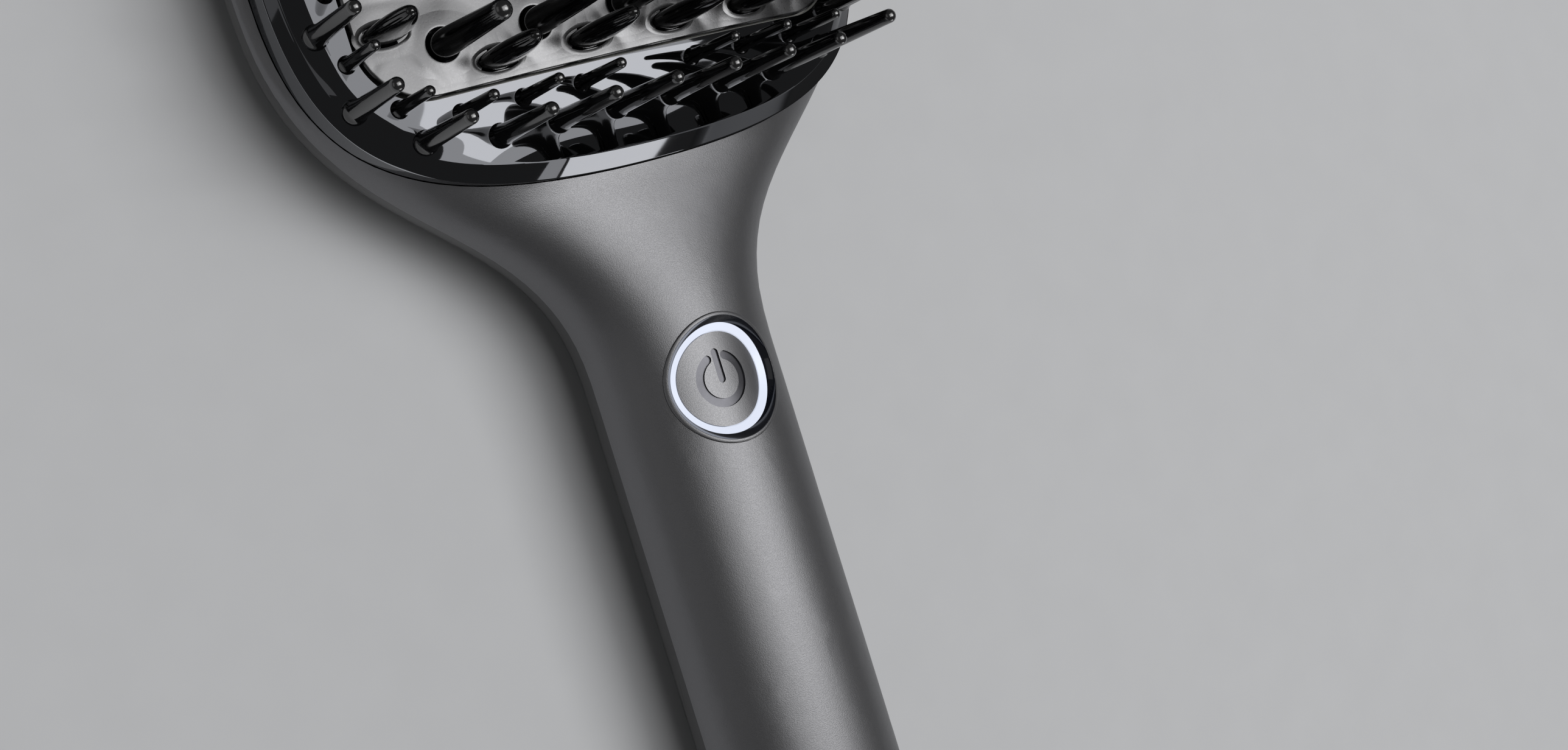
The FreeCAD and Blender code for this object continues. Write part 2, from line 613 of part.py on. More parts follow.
def slope_bore(body, bore_half):
    """Bevel the upper edge of a draped ring's bore, so its face falls towards the lit ring."""
    doc.recompute()
    ring = body.Tip
    names = []
    for number, edge in enumerate(ring.Shape.Edges, start=1):
        spots = [edge.valueAt(edge.FirstParameter), edge.valueAt(edge.LastParameter),
                 edge.valueAt((edge.FirstParameter + edge.LastParameter) / 2)]
        if all(abs(math.hypot(spot.x, spot.y) - bore_half) < 0.01
               and spot.z > size("cap_skirt_level") for spot in spots):
            names.append(f"Edge{number}")
    bevel = body.newObject("PartDesign::Chamfer", f"{body.Name}_bevel")
    bevel.Base = (ring, names)
    bevel.setExpression("Size", "Sizes.ring_slope")


def pad(body, sketch, length, name="pad"):
    """Pad a sketch upwards."""
    block = body.newObject("PartDesign::Pad", f"{body.Name}_{name}")
    block.Profile = sketch
    block.setExpression("Length", length)
    return block


def pocket(body, sketch, length, name="pocket", backwards=False):
    """Cut a sketch down from its plane."""
    hole = body.newObject("PartDesign::Pocket", f"{body.Name}_{name}")
    hole.Profile = sketch
    hole.Reversed = backwards
    hole.setExpression("Length", length)
    return hole


def rectangle(sketch, left, right, low, high):
    """Rectangle between four expressions."""
    outline(sketch, ((left, low), (right, low), (right, high), (left, high)))


def block_tool(name, width, length, height, across, place, low):
    """Part::Box centred across and along a place."""
    box = doc.addObject("Part::Box", name)
    bind(box, {"Length": width, "Width": length, "Height": height,
               "Placement.Base.x": f"{across} - ({width}) / 2",
               "Placement.Base.y": f"{place} - ({length}) / 2",
               "Placement.Base.z": low})
    return box


def bar_tool(name, diameter, length, across, place, level, upright=False):
    """Part::Cylinder from a place, along the brush or upright."""
    bar = doc.addObject("Part::Cylinder", name)
    if not upright:
        bar.Placement = FreeCAD.Placement(Vector(), FreeCAD.Rotation(Vector(1, 0, 0), -90))
    bind(bar, {"Radius": f"({diameter}) / 2", "Height": length, "Placement.Base.x": across,
               "Placement.Base.y": place, "Placement.Base.z": level})
    return bar


def joined(label, kind, first, others):
    """Boolean of a base object and a list of others, kept as one sub-part."""
    base = first
    for number, tool in enumerate(others):
        result = doc.addObject(kind, f"{label}_{number}")
        result.Base = base
        result.Tool = tool
        base = result
    return base


# ---------------------------------------------------------------- chrome face and heater stack
def crowned(prism, top, under):
    """Part of a prism between the crowned surface moved out by top and by under."""
    return prism.common(crown(top)).cut(crown(under))


def rim_edges(solid, offset):
    """Edges of a solid that lie on the crowned surface moved out by offset."""
    found = []
    for edge in solid.Edges:
        ends = [edge.valueAt(edge.FirstParameter), edge.valueAt(edge.LastParameter)]
        if all(abs(end.z - crown_level(end.x, offset)) < 0.01 for end in ends):
            found.append(edge)
    return found


face_gap = size("bezel_gap")
inner_inset = face_gap + size("deck_wall")
dome = oval_prism(face_gap, 0, SKY).common(crown(0))
dome = dome.makeChamfer(size("deck_chamfer_down"), size("deck_chamfer_in"), rim_edges(dome, 0))
face = dome.cut(oval_prism(inner_inset, -1, SKY).common(crown(-size("deck_wall"))))
gap = size("plate_gap")
plate_mouth = rounded_prism(size("plate_width") + 2 * gap, size("plate_length") + 2 * gap,
                            size("plate_corner") + gap, 0, SKY)
feature("face_bezel", face.cut(plate_mouth).removeSplitter())

plate_prism = rounded_prism(size("plate_width"), size("plate_length"), size("plate_corner"), 0, SKY)
plate = crowned(plate_prism, plate_top, frame_top)
plate = plate.makeChamfer(size("plate_bevel"), rim_edges(plate, plate_top))

round_places = []
for row in range(-3, 4):
    shift = 0 if row % 2 else size("tooth_pitch") / 2
    count = 5 if row % 2 else 4
    for column in range(count):
        across = (column - (count - 1) / 2) * size("tooth_pitch")
        round_places.append((across, head_middle + row * size("row_pitch")))
fin_places = []
fin_end = size("plate_length") / 2 - size("fin_inset")
fin_side = size("plate_width") / 2 - size("fin_side_inset")
for end in (-1, 1):
    for column in range(4):
        fin_places.append(((column - 1.5) * size("tooth_pitch"), head_middle + end * fin_end))
for side in (-1, 1):
    for row in range(6):
        fin_places.append((side * fin_side, head_middle + (row - 2.5) * size("fin_side_pitch")))


def fin_section(across, place, level, share, grow):
    """Oval across a fin tooth at a level."""
    long_half = size("fin_width") / 2 * share + grow
    short_half = size("fin_thickness") / 2 * share + grow
    oval = Part.Ellipse(Vector(across, place, level), long_half, short_half)
    return oval


holes = []
for across, place in round_places:
    holes.append(post(size("tooth_hole"), across, place, 0, SKY))
for across, place in fin_places:
    oval = fin_section(across, place, 0, 1, size("fin_gap"))
    holes.append(Part.Face(Part.Wire(oval.toShape())).extrude(UP * SKY))
plate = plate.cut(Part.makeCompound(holes))
feature("heater_plate", plate)

UNDER = -size("back_depth")
frame = rounded_prism(size("frame_width"), size("frame_length"), size("frame_corner"), UNDER, SKY)
rim_in = size("frame_rim")
frame_mouth = rounded_prism(size("plate_width") - 2 * rim_in, size("plate_length") - 2 * rim_in,
                            size("plate_corner") - rim_in, 2 * UNDER, SKY)
feature("heater_frame", crowned(frame.cut(frame_mouth), frame_top, manifold_top))

bars = []
for row in range(-3, 3):
    place = head_middle + (row + 0.5) * size("row_pitch")
    strip = Part.makeBox(size("bar_length"), size("bar_width"), SKY,
                         Vector(-size("bar_length") / 2, place - size("bar_width") / 2, 0))
    bars.append(crowned(strip, frame_top, manifold_top))
feature("heater_bars", Part.makeCompound(bars))

manifold = crowned(frame, manifold_top, manifold_under)
for side in (-1, 1):
    for row in range(-2, 3):
        port = post(size("steam_port"), side * size("tooth_pitch"),
                    head_middle + row * size("row_pitch") * 1.2, UNDER, SKY)
        manifold = manifold.cut(port)
feature("steam_manifold", manifold)

chamber_high = size("deck_level")
chamber = Part.makeBox(size("chamber_width"), size("chamber_length"), chamber_high,
                       Vector(-size("chamber_width") / 2, head_middle - size("chamber_length") / 2,
                              size("chamber_floor")))
wall = size("chamber_wall")
room = Part.makeBox(size("chamber_width") - 2 * wall, size("chamber_length") - 2 * wall,
                    chamber_high,
                    Vector(-size("chamber_width") / 2 + wall,
                           head_middle - size("chamber_length") / 2 + wall,
                           size("chamber_floor") + wall))
inlet = Part.makeCylinder(size("tube_bore") / 2, 2 * wall,
                          Vector(0, head_middle - size("chamber_length") / 2 - wall / 2,
                                 size("feed_level")), ALONG)
feature("steam_chamber", chamber.cut(room).cut(inlet).common(crown(manifold_under)))


# ---------------------------------------------------------------- teeth and pins
def bristle(foot, base, tip, length, splay):
    """Round bristle: a tapered bar from its foot up to a ball tip, leaning outwards."""
    tip_half = tip / 2
    centre = length - tip_half
    slant = tip_half * math.sqrt(0.5)
    ball = Part.Arc(Vector(tip_half, 0, centre), Vector(slant, 0, centre + slant),
                    Vector(0, 0, length)).toShape()
    sides = [Part.makeLine(Vector(), Vector(base / 2, 0, 0)),
             Part.makeLine(Vector(base / 2, 0, 0), Vector(tip_half, 0, centre)),
             ball, Part.makeLine(Vector(0, 0, length), Vector())]
    solid = Part.Face(Part.Wire(sides)).revolve(Vector(), UP, 360)
    solid.Placement = FreeCAD.Placement(foot, FreeCAD.Rotation(ALONG, splay * foot.x))
    return solid


teeth = []
for across, place in round_places:
    foot = Vector(across, place, seat_level(across, size("tooth_base") / 2, manifold_top))
    length = crown_level(across, plate_top) + size("tooth_length") - foot.z
    teeth.append(bristle(foot, size("tooth_base"), size("tooth_tip"), length, 0))
feature("round_teeth", Part.makeCompound(teeth))

fins = []
fin_levels = (0.0, 0.35, 0.6, 0.78, 0.9, 0.97, 1.0)
for across, place in fin_places:
    base = seat_level(across, size("fin_width") / 2, manifold_top) + size("fin_lift")
    height = crown_level(across, plate_top) + size("fin_length") - base
    sections = []
    for share in fin_levels:
        width_share = math.sqrt(1 - (size("fin_cut_share") * share) ** size("fin_belly"))
        oval = fin_section(across, place, base + share * height, width_share, 0)
        sections.append(Part.Wire(oval.toShape()))
    fins.append(Part.makeLoft(sections, True, False))
feature("fin_teeth", Part.makeCompound(fins))


def mirrored(places):
    """Each place again in all four quarters of the head."""
    return [(side * across, head_middle + end * along)
            for across, along in places for side in (-1, 1) for end in (-1, 1)]


pin_row = size("pin_row_reach")
pin_side = size("pin_side_reach")
large_places = mirrored([((k + 0.5) * size("pin_pitch"), pin_row) for k in range(3)])
large_places += mirrored([(size("pin_corner_across"), size("pin_corner_along")),
                          (size("pin_turn_across"), size("pin_turn_along"))])
large_places += mirrored([(pin_side, k * size("pin_side_pitch")) for k in range(1, 4)])
large_places += [(side * pin_side, head_middle) for side in (-1, 1)]
small_row = size("small_row_reach")
small_side = size("small_side_reach")
small_places = mirrored([(k * size("pin_pitch"), small_row) for k in range(1, 4)])
small_places += mirrored([(size("small_corner_across"), size("small_corner_along")),
                          (small_side, size("small_turn_along"))])
small_places += mirrored([(small_side, (k + 0.5) * size("pin_side_pitch")) for k in range(3)])

for label, places, kind in (("outer_pins", large_places, "pin"),
                            ("inner_pins", small_places, "small")):
    pins = []
    for across, place in places:
        foot = Vector(across, place, crown_level(across, 0) + size("pin_lift"))
        pins.append(bristle(foot, size(f"{kind}_base"), size(f"{kind}_tip"),
                            size(f"{kind}_length"), size("pin_splay")))
    feature(label, Part.makeCompound(pins))

# ---------------------------------------------------------------- power button
front_top = "Sizes.handle_front"
turned("button_bezel", "XZ_Plane", (
    ("Sizes.flange_bore / 2", "Sizes.ring_flange_level"),
    ("Sizes.ring_diameter / 2", "Sizes.ring_flange_level"),
    ("Sizes.ring_diameter / 2", "Sizes.handle_front + 3"),
    ("Sizes.light_outer / 2", "Sizes.handle_front + 3"),
    ("Sizes.light_outer / 2", "Sizes.ring_flange_level + Sizes.ring_flange"),
    ("Sizes.flange_bore / 2", "Sizes.ring_flange_level + Sizes.ring_flange")))
drape(nodes[-1], "Sizes.handle_front + Sizes.ring_proud")
slope_bore(nodes[-1], size("light_outer") / 2)
light_foot = "Sizes.ring_flange_level + Sizes.ring_flange"
turned("light_ring", "XZ_Plane", (
    ("Sizes.cap_diameter / 2 + Sizes.slide_gap", light_foot),
    ("Sizes.light_outer / 2 - 0.05", light_foot),
    ("Sizes.light_outer / 2 - 0.05", "Sizes.handle_front + 3"),
    ("Sizes.cap_diameter / 2 + Sizes.slide_gap", "Sizes.handle_front + 3")))
drape(nodes[-1], "Sizes.handle_front - Sizes.light_sink")
plunger_top = "Sizes.board_thickness + Sizes.switch_height + Sizes.plunger_rise"
latch_top = "Sizes.ring_flange_level - Sizes.latch_gap"
turned("power_button", "XZ_Plane", (
    ("0", plunger_top),
    ("Sizes.plunger_diameter / 2", plunger_top),
    ("Sizes.plunger_diameter / 2", "Sizes.cap_skirt_level"),
    ("Sizes.flange_bore / 2 - 1.6", "Sizes.cap_skirt_level"),
    ("Sizes.flange_bore / 2 - 1.6", f"{latch_top} - Sizes.latch_height"),
    ("Sizes.flange_bore / 2 - 0.3", f"{latch_top} - Sizes.latch_height"),
    ("Sizes.latch_diameter / 2", latch_top),
    ("Sizes.flange_bore / 2 - 0.3", latch_top),
    ("Sizes.flange_bore / 2 - 0.3", "Sizes.cap_skirt_level"),
    ("Sizes.cap_diameter / 2", "Sizes.cap_skirt_level"),
    ("Sizes.cap_diameter / 2", "Sizes.handle_front + 3"),
    ("0", "Sizes.handle_front + 3")))
drape(nodes[-1], "Sizes.handle_front - Sizes.cap_sink")
switch_top = "Sizes.board_thickness + Sizes.switch_height"
turned("switch_plunger", "XZ_Plane", (
    ("0", f"{switch_top} - Sizes.plunger_depth"),
    ("Sizes.plunger_diameter / 2", f"{switch_top} - Sizes.plunger_depth"),
    ("Sizes.plunger_diameter / 2", plunger_top),
    ("0", plunger_top)))

# ---------------------------------------------------------------- electronics
body = new_body("tact_switch")
sketch = new_sketch(body, "XY_Plane", "Sizes.board_thickness")
half_side = "Sizes.switch_side / 2"
rectangle(sketch, f"-{half_side}", half_side, f"-{half_side}", half_side)
pad(body, sketch, "Sizes.switch_height")
sketch = new_sketch(body, "XY_Plane", switch_top)
circle(sketch, "Sizes.plunger_diameter + 2 * Sizes.screw_gap")
pocket(body, sketch, "Sizes.plunger_depth + 1")

body = new_body("control_board")
sketch = new_sketch(body, "XY_Plane")
half_board = "Sizes.board_width / 2"
rectangle(sketch, f"-{half_board}", half_board, "-Sizes.board_low", "Sizes.board_high")
pad(body, sketch, "Sizes.board_thickness")

lights = []
for turn in range(4):
    angle = math.radians(45 + 90 * turn)
    ring_middle = "(Sizes.cap_diameter + Sizes.light_outer) / 4"
    lights.append(block_tool(f"led_{turn}", "Sizes.led_side", "Sizes.led_side", "Sizes.led_height",
                             f"{ring_middle} * {math.cos(angle):.4f}",
                             f"{ring_middle} * {math.sin(angle):.4f}", "Sizes.board_thickness"))
led_ring = doc.addObject("Part::Compound", "ring_leds")
led_ring.Links = lights
keep(led_ring, "ring_leds")

module = block_tool("module_case", "Sizes.module_width", "Sizes.module_length",
                    "Sizes.module_height", "0", "-Sizes.module_place", "Sizes.board_thickness")
slot_floor = "Sizes.board_thickness + Sizes.module_height - Sizes.module_slot_depth"
slots = [block_tool(f"module_slot_{k}", "1.2 * Sizes.module_width", "Sizes.module_slot",
                    "2 * Sizes.module_slot_depth", "0",
                    f"{k - 1.5} * Sizes.module_slot_pitch - Sizes.module_place", slot_floor)
         for k in range(4)]
keep(joined("power_module", "Part::Cut", module, slots), "power_module")

terminals = block_tool("terminal_case", "Sizes.terminal_width", "Sizes.terminal_length",
                       "Sizes.terminal_height", "0", "-Sizes.terminal_place",
                       "Sizes.board_thickness")
wire_bores = [bar_tool(f"wire_bore_{side}", "Sizes.wire_bore", "Sizes.terminal_length",
                       f"{side} * Sizes.wire_spacing / 2",
                       "-Sizes.terminal_place - 0.75 * Sizes.terminal_length",
                       "Sizes.board_thickness + Sizes.terminal_height / 2") for side in (-1, 1)]
keep(joined("mains_terminals", "Part::Cut", terminals, wire_bores), "mains_terminals")

# ---------------------------------------------------------------- water and steam supply
tank_place = "Sizes.tank_low + Sizes.tank_length / 2"
tank_floor = "Sizes.tank_top - Sizes.tank_height"
tank_case = block_tool("tank_case", "Sizes.tank_width", "Sizes.tank_length", "Sizes.tank_height",
                       "0", tank_place, tank_floor)
tank_room = block_tool("tank_room", "Sizes.tank_width - 2 * Sizes.tank_wall",
                       "Sizes.tank_length - 2 * Sizes.tank_wall",
                       "Sizes.tank_height - 2 * Sizes.tank_wall",
                       "0", tank_place, f"{tank_floor} + Sizes.tank_wall")
neck_length = crown_end - size("back_wall") - size("tank_low") - size("tank_length")
filler_neck = bar_tool("filler_neck", "Sizes.filler_outer", f"{neck_length}", "0",
                       "Sizes.tank_low + Sizes.tank_length", "-Sizes.filler_depth")
filler_way = bar_tool("filler_way", "Sizes.filler_bore", f"{neck_length} + 2 * Sizes.tank_wall",
                      "0", "Sizes.tank_low + Sizes.tank_length - 2 * Sizes.tank_wall",
                      "-Sizes.filler_depth")
outlet = bar_tool("tank_outlet", "Sizes.tube_bore", "2 * Sizes.tank_wall", "0",
                  "Sizes.tank_low - Sizes.tank_wall / 2", "-Sizes.suction_level")
tank = joined("tank_solid", "Part::Fuse", tank_case, [filler_neck])
keep(joined("water_tank", "Part::Cut", tank, [tank_room, filler_way, outlet]), "water_tank")

insulation = block_tool("sheet_blank", "Sizes.tank_width", "Sizes.chamber_length",
                        "Sizes.sheet_wall", "0", f"{head_middle}", "Sizes.tank_top")
keep(joined("insulation", "Part::Cut", insulation,
            [bar_tool("sheet_hole", "3", "4", "0", f"{head_middle}", "-1", True)]),
     "insulation_sheet")

pump_middle = "Sizes.pump_low + Sizes.pump_length / 2"
pump_case = block_tool("pump_case", "Sizes.pump_width", "Sizes.pump_length", "Sizes.pump_depth",
                       "0", pump_middle, "-Sizes.pump_depth")
pump_coil = bar_tool("pump_coil", "Sizes.coil_diameter", "Sizes.coil_top + 1", "0",
                     pump_middle, "-1", True)
keep(joined("water_pump", "Part::Fuse", pump_case, [pump_coil]), "water_pump")


def tube(label, start, end, level):
    """Straight silicone tube along the brush between two places."""
    outer = bar_tool(f"{label}_outer", "Sizes.tube_outer", f"{end} - ({start})", "0", start, level)
    inner = bar_tool(f"{label}_inner", "Sizes.tube_bore", f"{end} - ({start}) + 2", "0",
                     f"{start} - 1", level)
    keep(joined(label, "Part::Cut", outer, [inner]), label)


tube("suction_tube", "Sizes.pump_low + Sizes.pump_length", "Sizes.tank_low",
     "-Sizes.suction_level")
coil_edge = "Sizes.pump_low + Sizes.pump_length / 2 + Sizes.coil_diameter / 2"
chamber_edge = f"({head_middle} - Sizes.chamber_length / 2)"
tube("feed_tube", coil_edge, chamber_edge, "Sizes.feed_level")

for label, side, length in (("thermal_fuse", 1, "fuse_length"),
                            ("temperature_sensor", -1, "sensor_length")):
    under = crown_level(size("sensor_reach") + size("sensor_diameter") / 2, manifold_under)
    level = under - size("sensor_diameter") / 2 - size("slide_gap")
    start = Vector(side * size("sensor_reach"), head_middle - size(length) / 2, level)
    bead = Part.makeCylinder(size("sensor_diameter") / 2, size(length), start, ALONG)
    feature(label, bead.makeFillet(size("sensor_diameter") / 8, [bead.Edges[0], bead.Edges[2]]))

# ---------------------------------------------------------------- filler plug
plug_face = f"{crown_end} + Sizes.plug_proud"
plug_shoulder = f"{crown_end} - Sizes.plug_seat"
groove_place = f"{plug_shoulder} - Sizes.plug_stem / 2"
stem_half = "Sizes.filler_bore / 2 - Sizes.slide_gap"
groove_half = f"{stem_half} - Sizes.plug_groove"
turned("filler_plug", "XY_Plane", (
    ("0", f"{plug_shoulder} - Sizes.plug_stem"),
    (f"{stem_half} - 0.5", f"{plug_shoulder} - Sizes.plug_stem"),
    (stem_half, f"{plug_shoulder} - Sizes.plug_stem + 0.5"),
    (stem_half, f"{groove_place} - Sizes.plug_groove"),
    (groove_half, f"{groove_place} - Sizes.plug_groove"),
    (groove_half, f"{groove_place} + Sizes.plug_groove"),
    (stem_half, f"{groove_place} + Sizes.plug_groove"),
    (stem_half, plug_shoulder),
    ("Sizes.plug_head / 2", plug_shoulder),
    ("Sizes.plug_head / 2", f"{plug_face} - 0.3"),
    ("Sizes.plug_head / 2 - 0.3", plug_face),
    ("0", plug_face)))
seal = doc.addObject("Part::Torus", "seal_ring")
seal.Placement = FreeCAD.Placement(Vector(), FreeCAD.Rotation(Vector(1, 0, 0), 90))
bind(seal, {"Radius1": f"{groove_half} + Sizes.seal_section / 2",
            "Radius2": "Sizes.seal_section / 2", "Placement.Base.y": groove_place})
seal_piece = doc.addObject("Part::Compound", "seal_piece")
seal_piece.Links = [seal]
keep(seal_piece, "plug_seal")
for plugged in (nodes[-2], nodes[-1]):
    plugged.Placement = FreeCAD.Placement(HOME.Base - UP * size("filler_depth"),
                                          FreeCAD.Rotation())

# ---------------------------------------------------------------- housing screws
for label, place in (("lower_housing_screw", "-Sizes.screw_low"),
                     ("upper_housing_screw", "Sizes.screw_high")):
    seat = "-Sizes.back_depth + Sizes.screw_sink"
    head = bar_tool(f"{label}_head", "Sizes.screw_head", "Sizes.screw_head_height", "0", place,
                    f"{seat} - Sizes.screw_head_height", True)
    shank = bar_tool(f"{label}_shank", "Sizes.screw_shank",
                     f"Sizes.screw_reach - ({seat})", "0", place, seat, True)
    drive = block_tool(f"{label}_drive", "Sizes.screw_head / 2", "0.8", "0.9", "0", place,
                       f"{seat} - Sizes.screw_head_height - 0.1")
    screw = joined(f"{label}_solid", "Part::Fuse", head, [shank])
    keep(joined(label, "Part::Cut", screw, [drive]), label)

# ---------------------------------------------------------------- end cap and cord swivel
def grip_section(inset, place, grow=1.0):
    """Whole section of the grip at a place, drawn in by inset."""
    halves = []
    fullness = size("handle_fullness")
    for height in (size("handle_front"), -size("back_depth")):
        rise = (abs(height) - inset) * grow * (1 if height > 0 else -1)
        for side in (1, -1):
            half = side * (grip_half - inset) * grow
            arch = Part.BezierCurve()
            arch.setPoles([Vector(half, place, 0), Vector(half, place, fullness * rise),
                           Vector(fullness * half, place, rise), Vector(0, place, rise)])
            halves.append(arch.toShape())
    return Part.Wire(Part.__sortEdges__(halves))


cap_high = -size("handle_reach")
cap_low = cap_high - size("cap_length")
rounding = ((0.0, 1.0), (0.35, 0.995), (0.65, 0.97), (0.85, 0.93), (1.0, 0.86))
cap_form = Part.makeLoft([grip_section(0, cap_high - share * size("cap_length"), grow)
                          for share, grow in rounding], True, False)
spigot_inset = size("back_wall") + size("slide_gap")
spigot = Part.Face(grip_section(spigot_inset, cap_high)).extrude(ALONG * size("cap_spigot"))
cap_room = Part.Face(grip_section(spigot_inset + size("shell_wall"), cap_low + size("cap_wall"),
                                  0.95)).extrude(ALONG * 2 * (size("cap_length")
                                                              + size("cap_spigot")))
neck_half = size("swivel_neck") / 2
swivel_hole = Part.makeCylinder(neck_half + size("slide_gap") / 2, 4 * size("cap_wall"),
                                Vector(0, cap_low - size("cap_wall"), 0), ALONG)
feature("end_cap", cap_form.fuse(spigot).cut(cap_room).cut(swivel_hole).removeSplitter())

cap_face = "-Sizes.handle_reach - Sizes.cap_length"
wall_in = f"{cap_face} + Sizes.cap_wall"
shoulder = f"{cap_face} - Sizes.swivel_gap"
tip = f"{shoulder} - Sizes.swivel_length"
clip_low = f"{wall_in} + Sizes.swivel_gap"
clip_high = f"{clip_low} + Sizes.clip_thickness"
turned("cord_swivel", "XY_Plane", (
    ("Sizes.cord_bore / 2", tip),
    ("Sizes.swivel_tip / 2 - 0.8", tip),
    ("Sizes.swivel_tip / 2", f"{tip} + 0.8"),
    ("Sizes.swivel_shoulder / 2", f"{shoulder} - 1.2"),
    ("Sizes.swivel_shoulder / 2", shoulder),
    ("Sizes.swivel_neck / 2", shoulder),
    ("Sizes.swivel_neck / 2", f"{clip_high} + 0.8"),
    ("Sizes.cord_bore / 2", f"{clip_high} + 0.8")))
turned("swivel_clip", "XY_Plane", (
    ("Sizes.swivel_neck / 2", clip_low),
    ("Sizes.clip_diameter / 2", clip_low),
    ("Sizes.clip_diameter / 2", clip_high),
    ("Sizes.swivel_neck / 2", clip_high)))

# ---------------------------------------------------------------- checks and files
doc.recompute()
for thing in doc.Objects:
    if "Invalid" in thing.State or "Error" in thing.State:
        raise RuntimeError(f"{thing.Label} failed: {thing.State}")
for node in nodes:
    if node.Shape.isNull() or not node.Shape.isValid() or not node.Shape.Solids:
        raise RuntimeError(f"{node.Label} has no valid solid")
for node in nodes:
    node.Shape.exportStep(f"parts/{node.Label}.step")
print(len(nodes), "sub-parts written")
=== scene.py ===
# %% [markdown]
# # A steam straightening brush, dressed in Blender
# The brush was built as solids first, in another program.  Those solids are a fixed frame, and
# this lesson adds their finishes and the fine forms that a solid leaves out: the mirror face, the
# pins' sockets, the sign on the button.

# %% Open the frame
import bpy
import bmesh
import json
import math
from mathutils import Matrix, Vector


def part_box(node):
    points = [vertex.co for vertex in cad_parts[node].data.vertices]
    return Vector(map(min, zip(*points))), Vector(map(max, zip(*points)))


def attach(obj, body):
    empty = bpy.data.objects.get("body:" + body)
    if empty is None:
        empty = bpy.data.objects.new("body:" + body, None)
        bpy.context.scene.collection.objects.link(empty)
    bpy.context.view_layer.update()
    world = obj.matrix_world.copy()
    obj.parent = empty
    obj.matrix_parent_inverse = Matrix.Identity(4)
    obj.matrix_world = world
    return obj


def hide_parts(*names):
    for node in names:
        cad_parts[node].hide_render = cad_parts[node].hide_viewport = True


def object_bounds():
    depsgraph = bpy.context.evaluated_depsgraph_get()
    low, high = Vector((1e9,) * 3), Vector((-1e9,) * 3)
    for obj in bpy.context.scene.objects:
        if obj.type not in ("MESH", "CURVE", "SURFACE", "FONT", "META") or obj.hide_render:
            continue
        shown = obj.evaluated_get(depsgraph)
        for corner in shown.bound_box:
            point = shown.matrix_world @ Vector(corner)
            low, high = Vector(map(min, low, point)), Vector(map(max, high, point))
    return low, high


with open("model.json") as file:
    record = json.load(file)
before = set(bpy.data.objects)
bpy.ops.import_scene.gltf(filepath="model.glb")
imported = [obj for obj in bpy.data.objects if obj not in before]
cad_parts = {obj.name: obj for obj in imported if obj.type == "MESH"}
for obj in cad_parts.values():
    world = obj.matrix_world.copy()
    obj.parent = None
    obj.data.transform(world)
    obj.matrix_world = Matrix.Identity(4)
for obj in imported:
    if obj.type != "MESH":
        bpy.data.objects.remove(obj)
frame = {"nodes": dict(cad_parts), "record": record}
cad_low, cad_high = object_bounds()
nodes = frame["nodes"]
MM = 0.001
print("frame opened:", len(nodes), "pieces,", [round(v / MM, 1) for v in cad_high - cad_low], "mm")

# %% [markdown]
# ## The camera
# A brush like this is best seen from above its left side, a forearm's length away, through a lens
# a little longer than the eye's own.  A camera's place is set by its matrix: three columns say
# which way its right, its top and its back point, and the last one where it stands.

# %% Place the camera
lens = bpy.data.cameras.new("studio_camera")
lens.lens = 53.66
lens.sensor_width = 36.0
lens.clip_start = 0.01
lens.clip_end = 50.0
camera = bpy.data.objects.new("studio_camera", lens)
bpy.context.scene.collection.objects.link(camera)
stand = Vector((-170.77, 4.60, 296.31)) * MM
rightward = Vector((0.79066, -0.29588, 0.53602)).normalized()
backward = Vector((-0.54979, 0.04214, 0.83424)).normalized()
upward = backward.cross(rightward).normalized()
turn = Matrix((rightward, upward, backward)).transposed()
camera.matrix_world = Matrix.Translation(stand) @ turn.to_4x4()
bpy.context.scene.camera = camera
bpy.context.scene.view_settings.view_transform = "Standard"
print("camera at", [round(v / MM) for v in stand], "mm")

# %% [markdown]
# ## Helpers for finishes
# A finish is a small net of nodes round one shader.  Colours are written as on a paint card, in
# hex, and one function turns them into the linear light that the shader works with.  Another adds
# a node, sets it up and ties it to the nodes before and after it, so that each finish reads as a
# short list.

# %% Colour and node helpers
finishes = {}


def linear(hex_colour):
    """A paint card's colour as linear light."""
    parts = [int(hex_colour[i:i + 2], 16) / 255 for i in (0, 2, 4)]
    parts = [v / 12.92 if v <= 0.04045 else ((v + 0.055) / 1.055) ** 2.4 for v in parts]
    return (*parts, 1.0)


def add_node(tree, kind, inputs=None, feeds=None, **settings):
    """Adds a node; inputs are numbers or sockets before it, feeds a socket after it."""
    made = tree.nodes.new(kind)
    for name, value in settings.items():
        setattr(made, name, value)
    for name, value in (inputs or {}).items():
        if isinstance(value, bpy.types.NodeSocket):
            tree.links.new(value, made.inputs[name])
        else:
            made.inputs[name].default_value = value
    if feeds:
        tree.links.new(next(s for s in made.outputs if s.enabled), feeds)
    return made


def start_finish(slot, name, colour, **inputs):
    """A material with its shader, and the place of each point on the object."""
    material = bpy.data.materials.new(name)
    material.use_nodes = True
    tree = material.node_tree
    shader = tree.nodes["Principled BSDF"]
    shader.inputs["Base Color"].default_value = linear(colour)
    for socket, value in inputs.items():
        shader.inputs[socket.replace("_", " ")].default_value = value
    place = add_node(tree, "ShaderNodeTexCoord").outputs["Object"]
    finishes[slot] = material
    return tree, shader, place


def per_metre(size_mm):
    """A pattern's scale from the size of one of its grains."""
    return 1.0 / (size_mm * MM)


print("a grain of 1 mm has the scale", round(per_metre(1.0)))

# %% [markdown]
# ## The floor and the lamps
# The brush lies on its back on a plain pale table.  Satin and mirror metals show the room more than
# their own colour, so the lamps are placed for what the metals see.  A wide, dim soft box hangs
# overhead, and a smaller, brighter one in front of it a little to the right; their edges draw the
# sharp lines in the mirror face.  Two low cards past the handle's end give the face's bevel its
# white band, and a dim card on the left keeps the near side of the rim from going black.

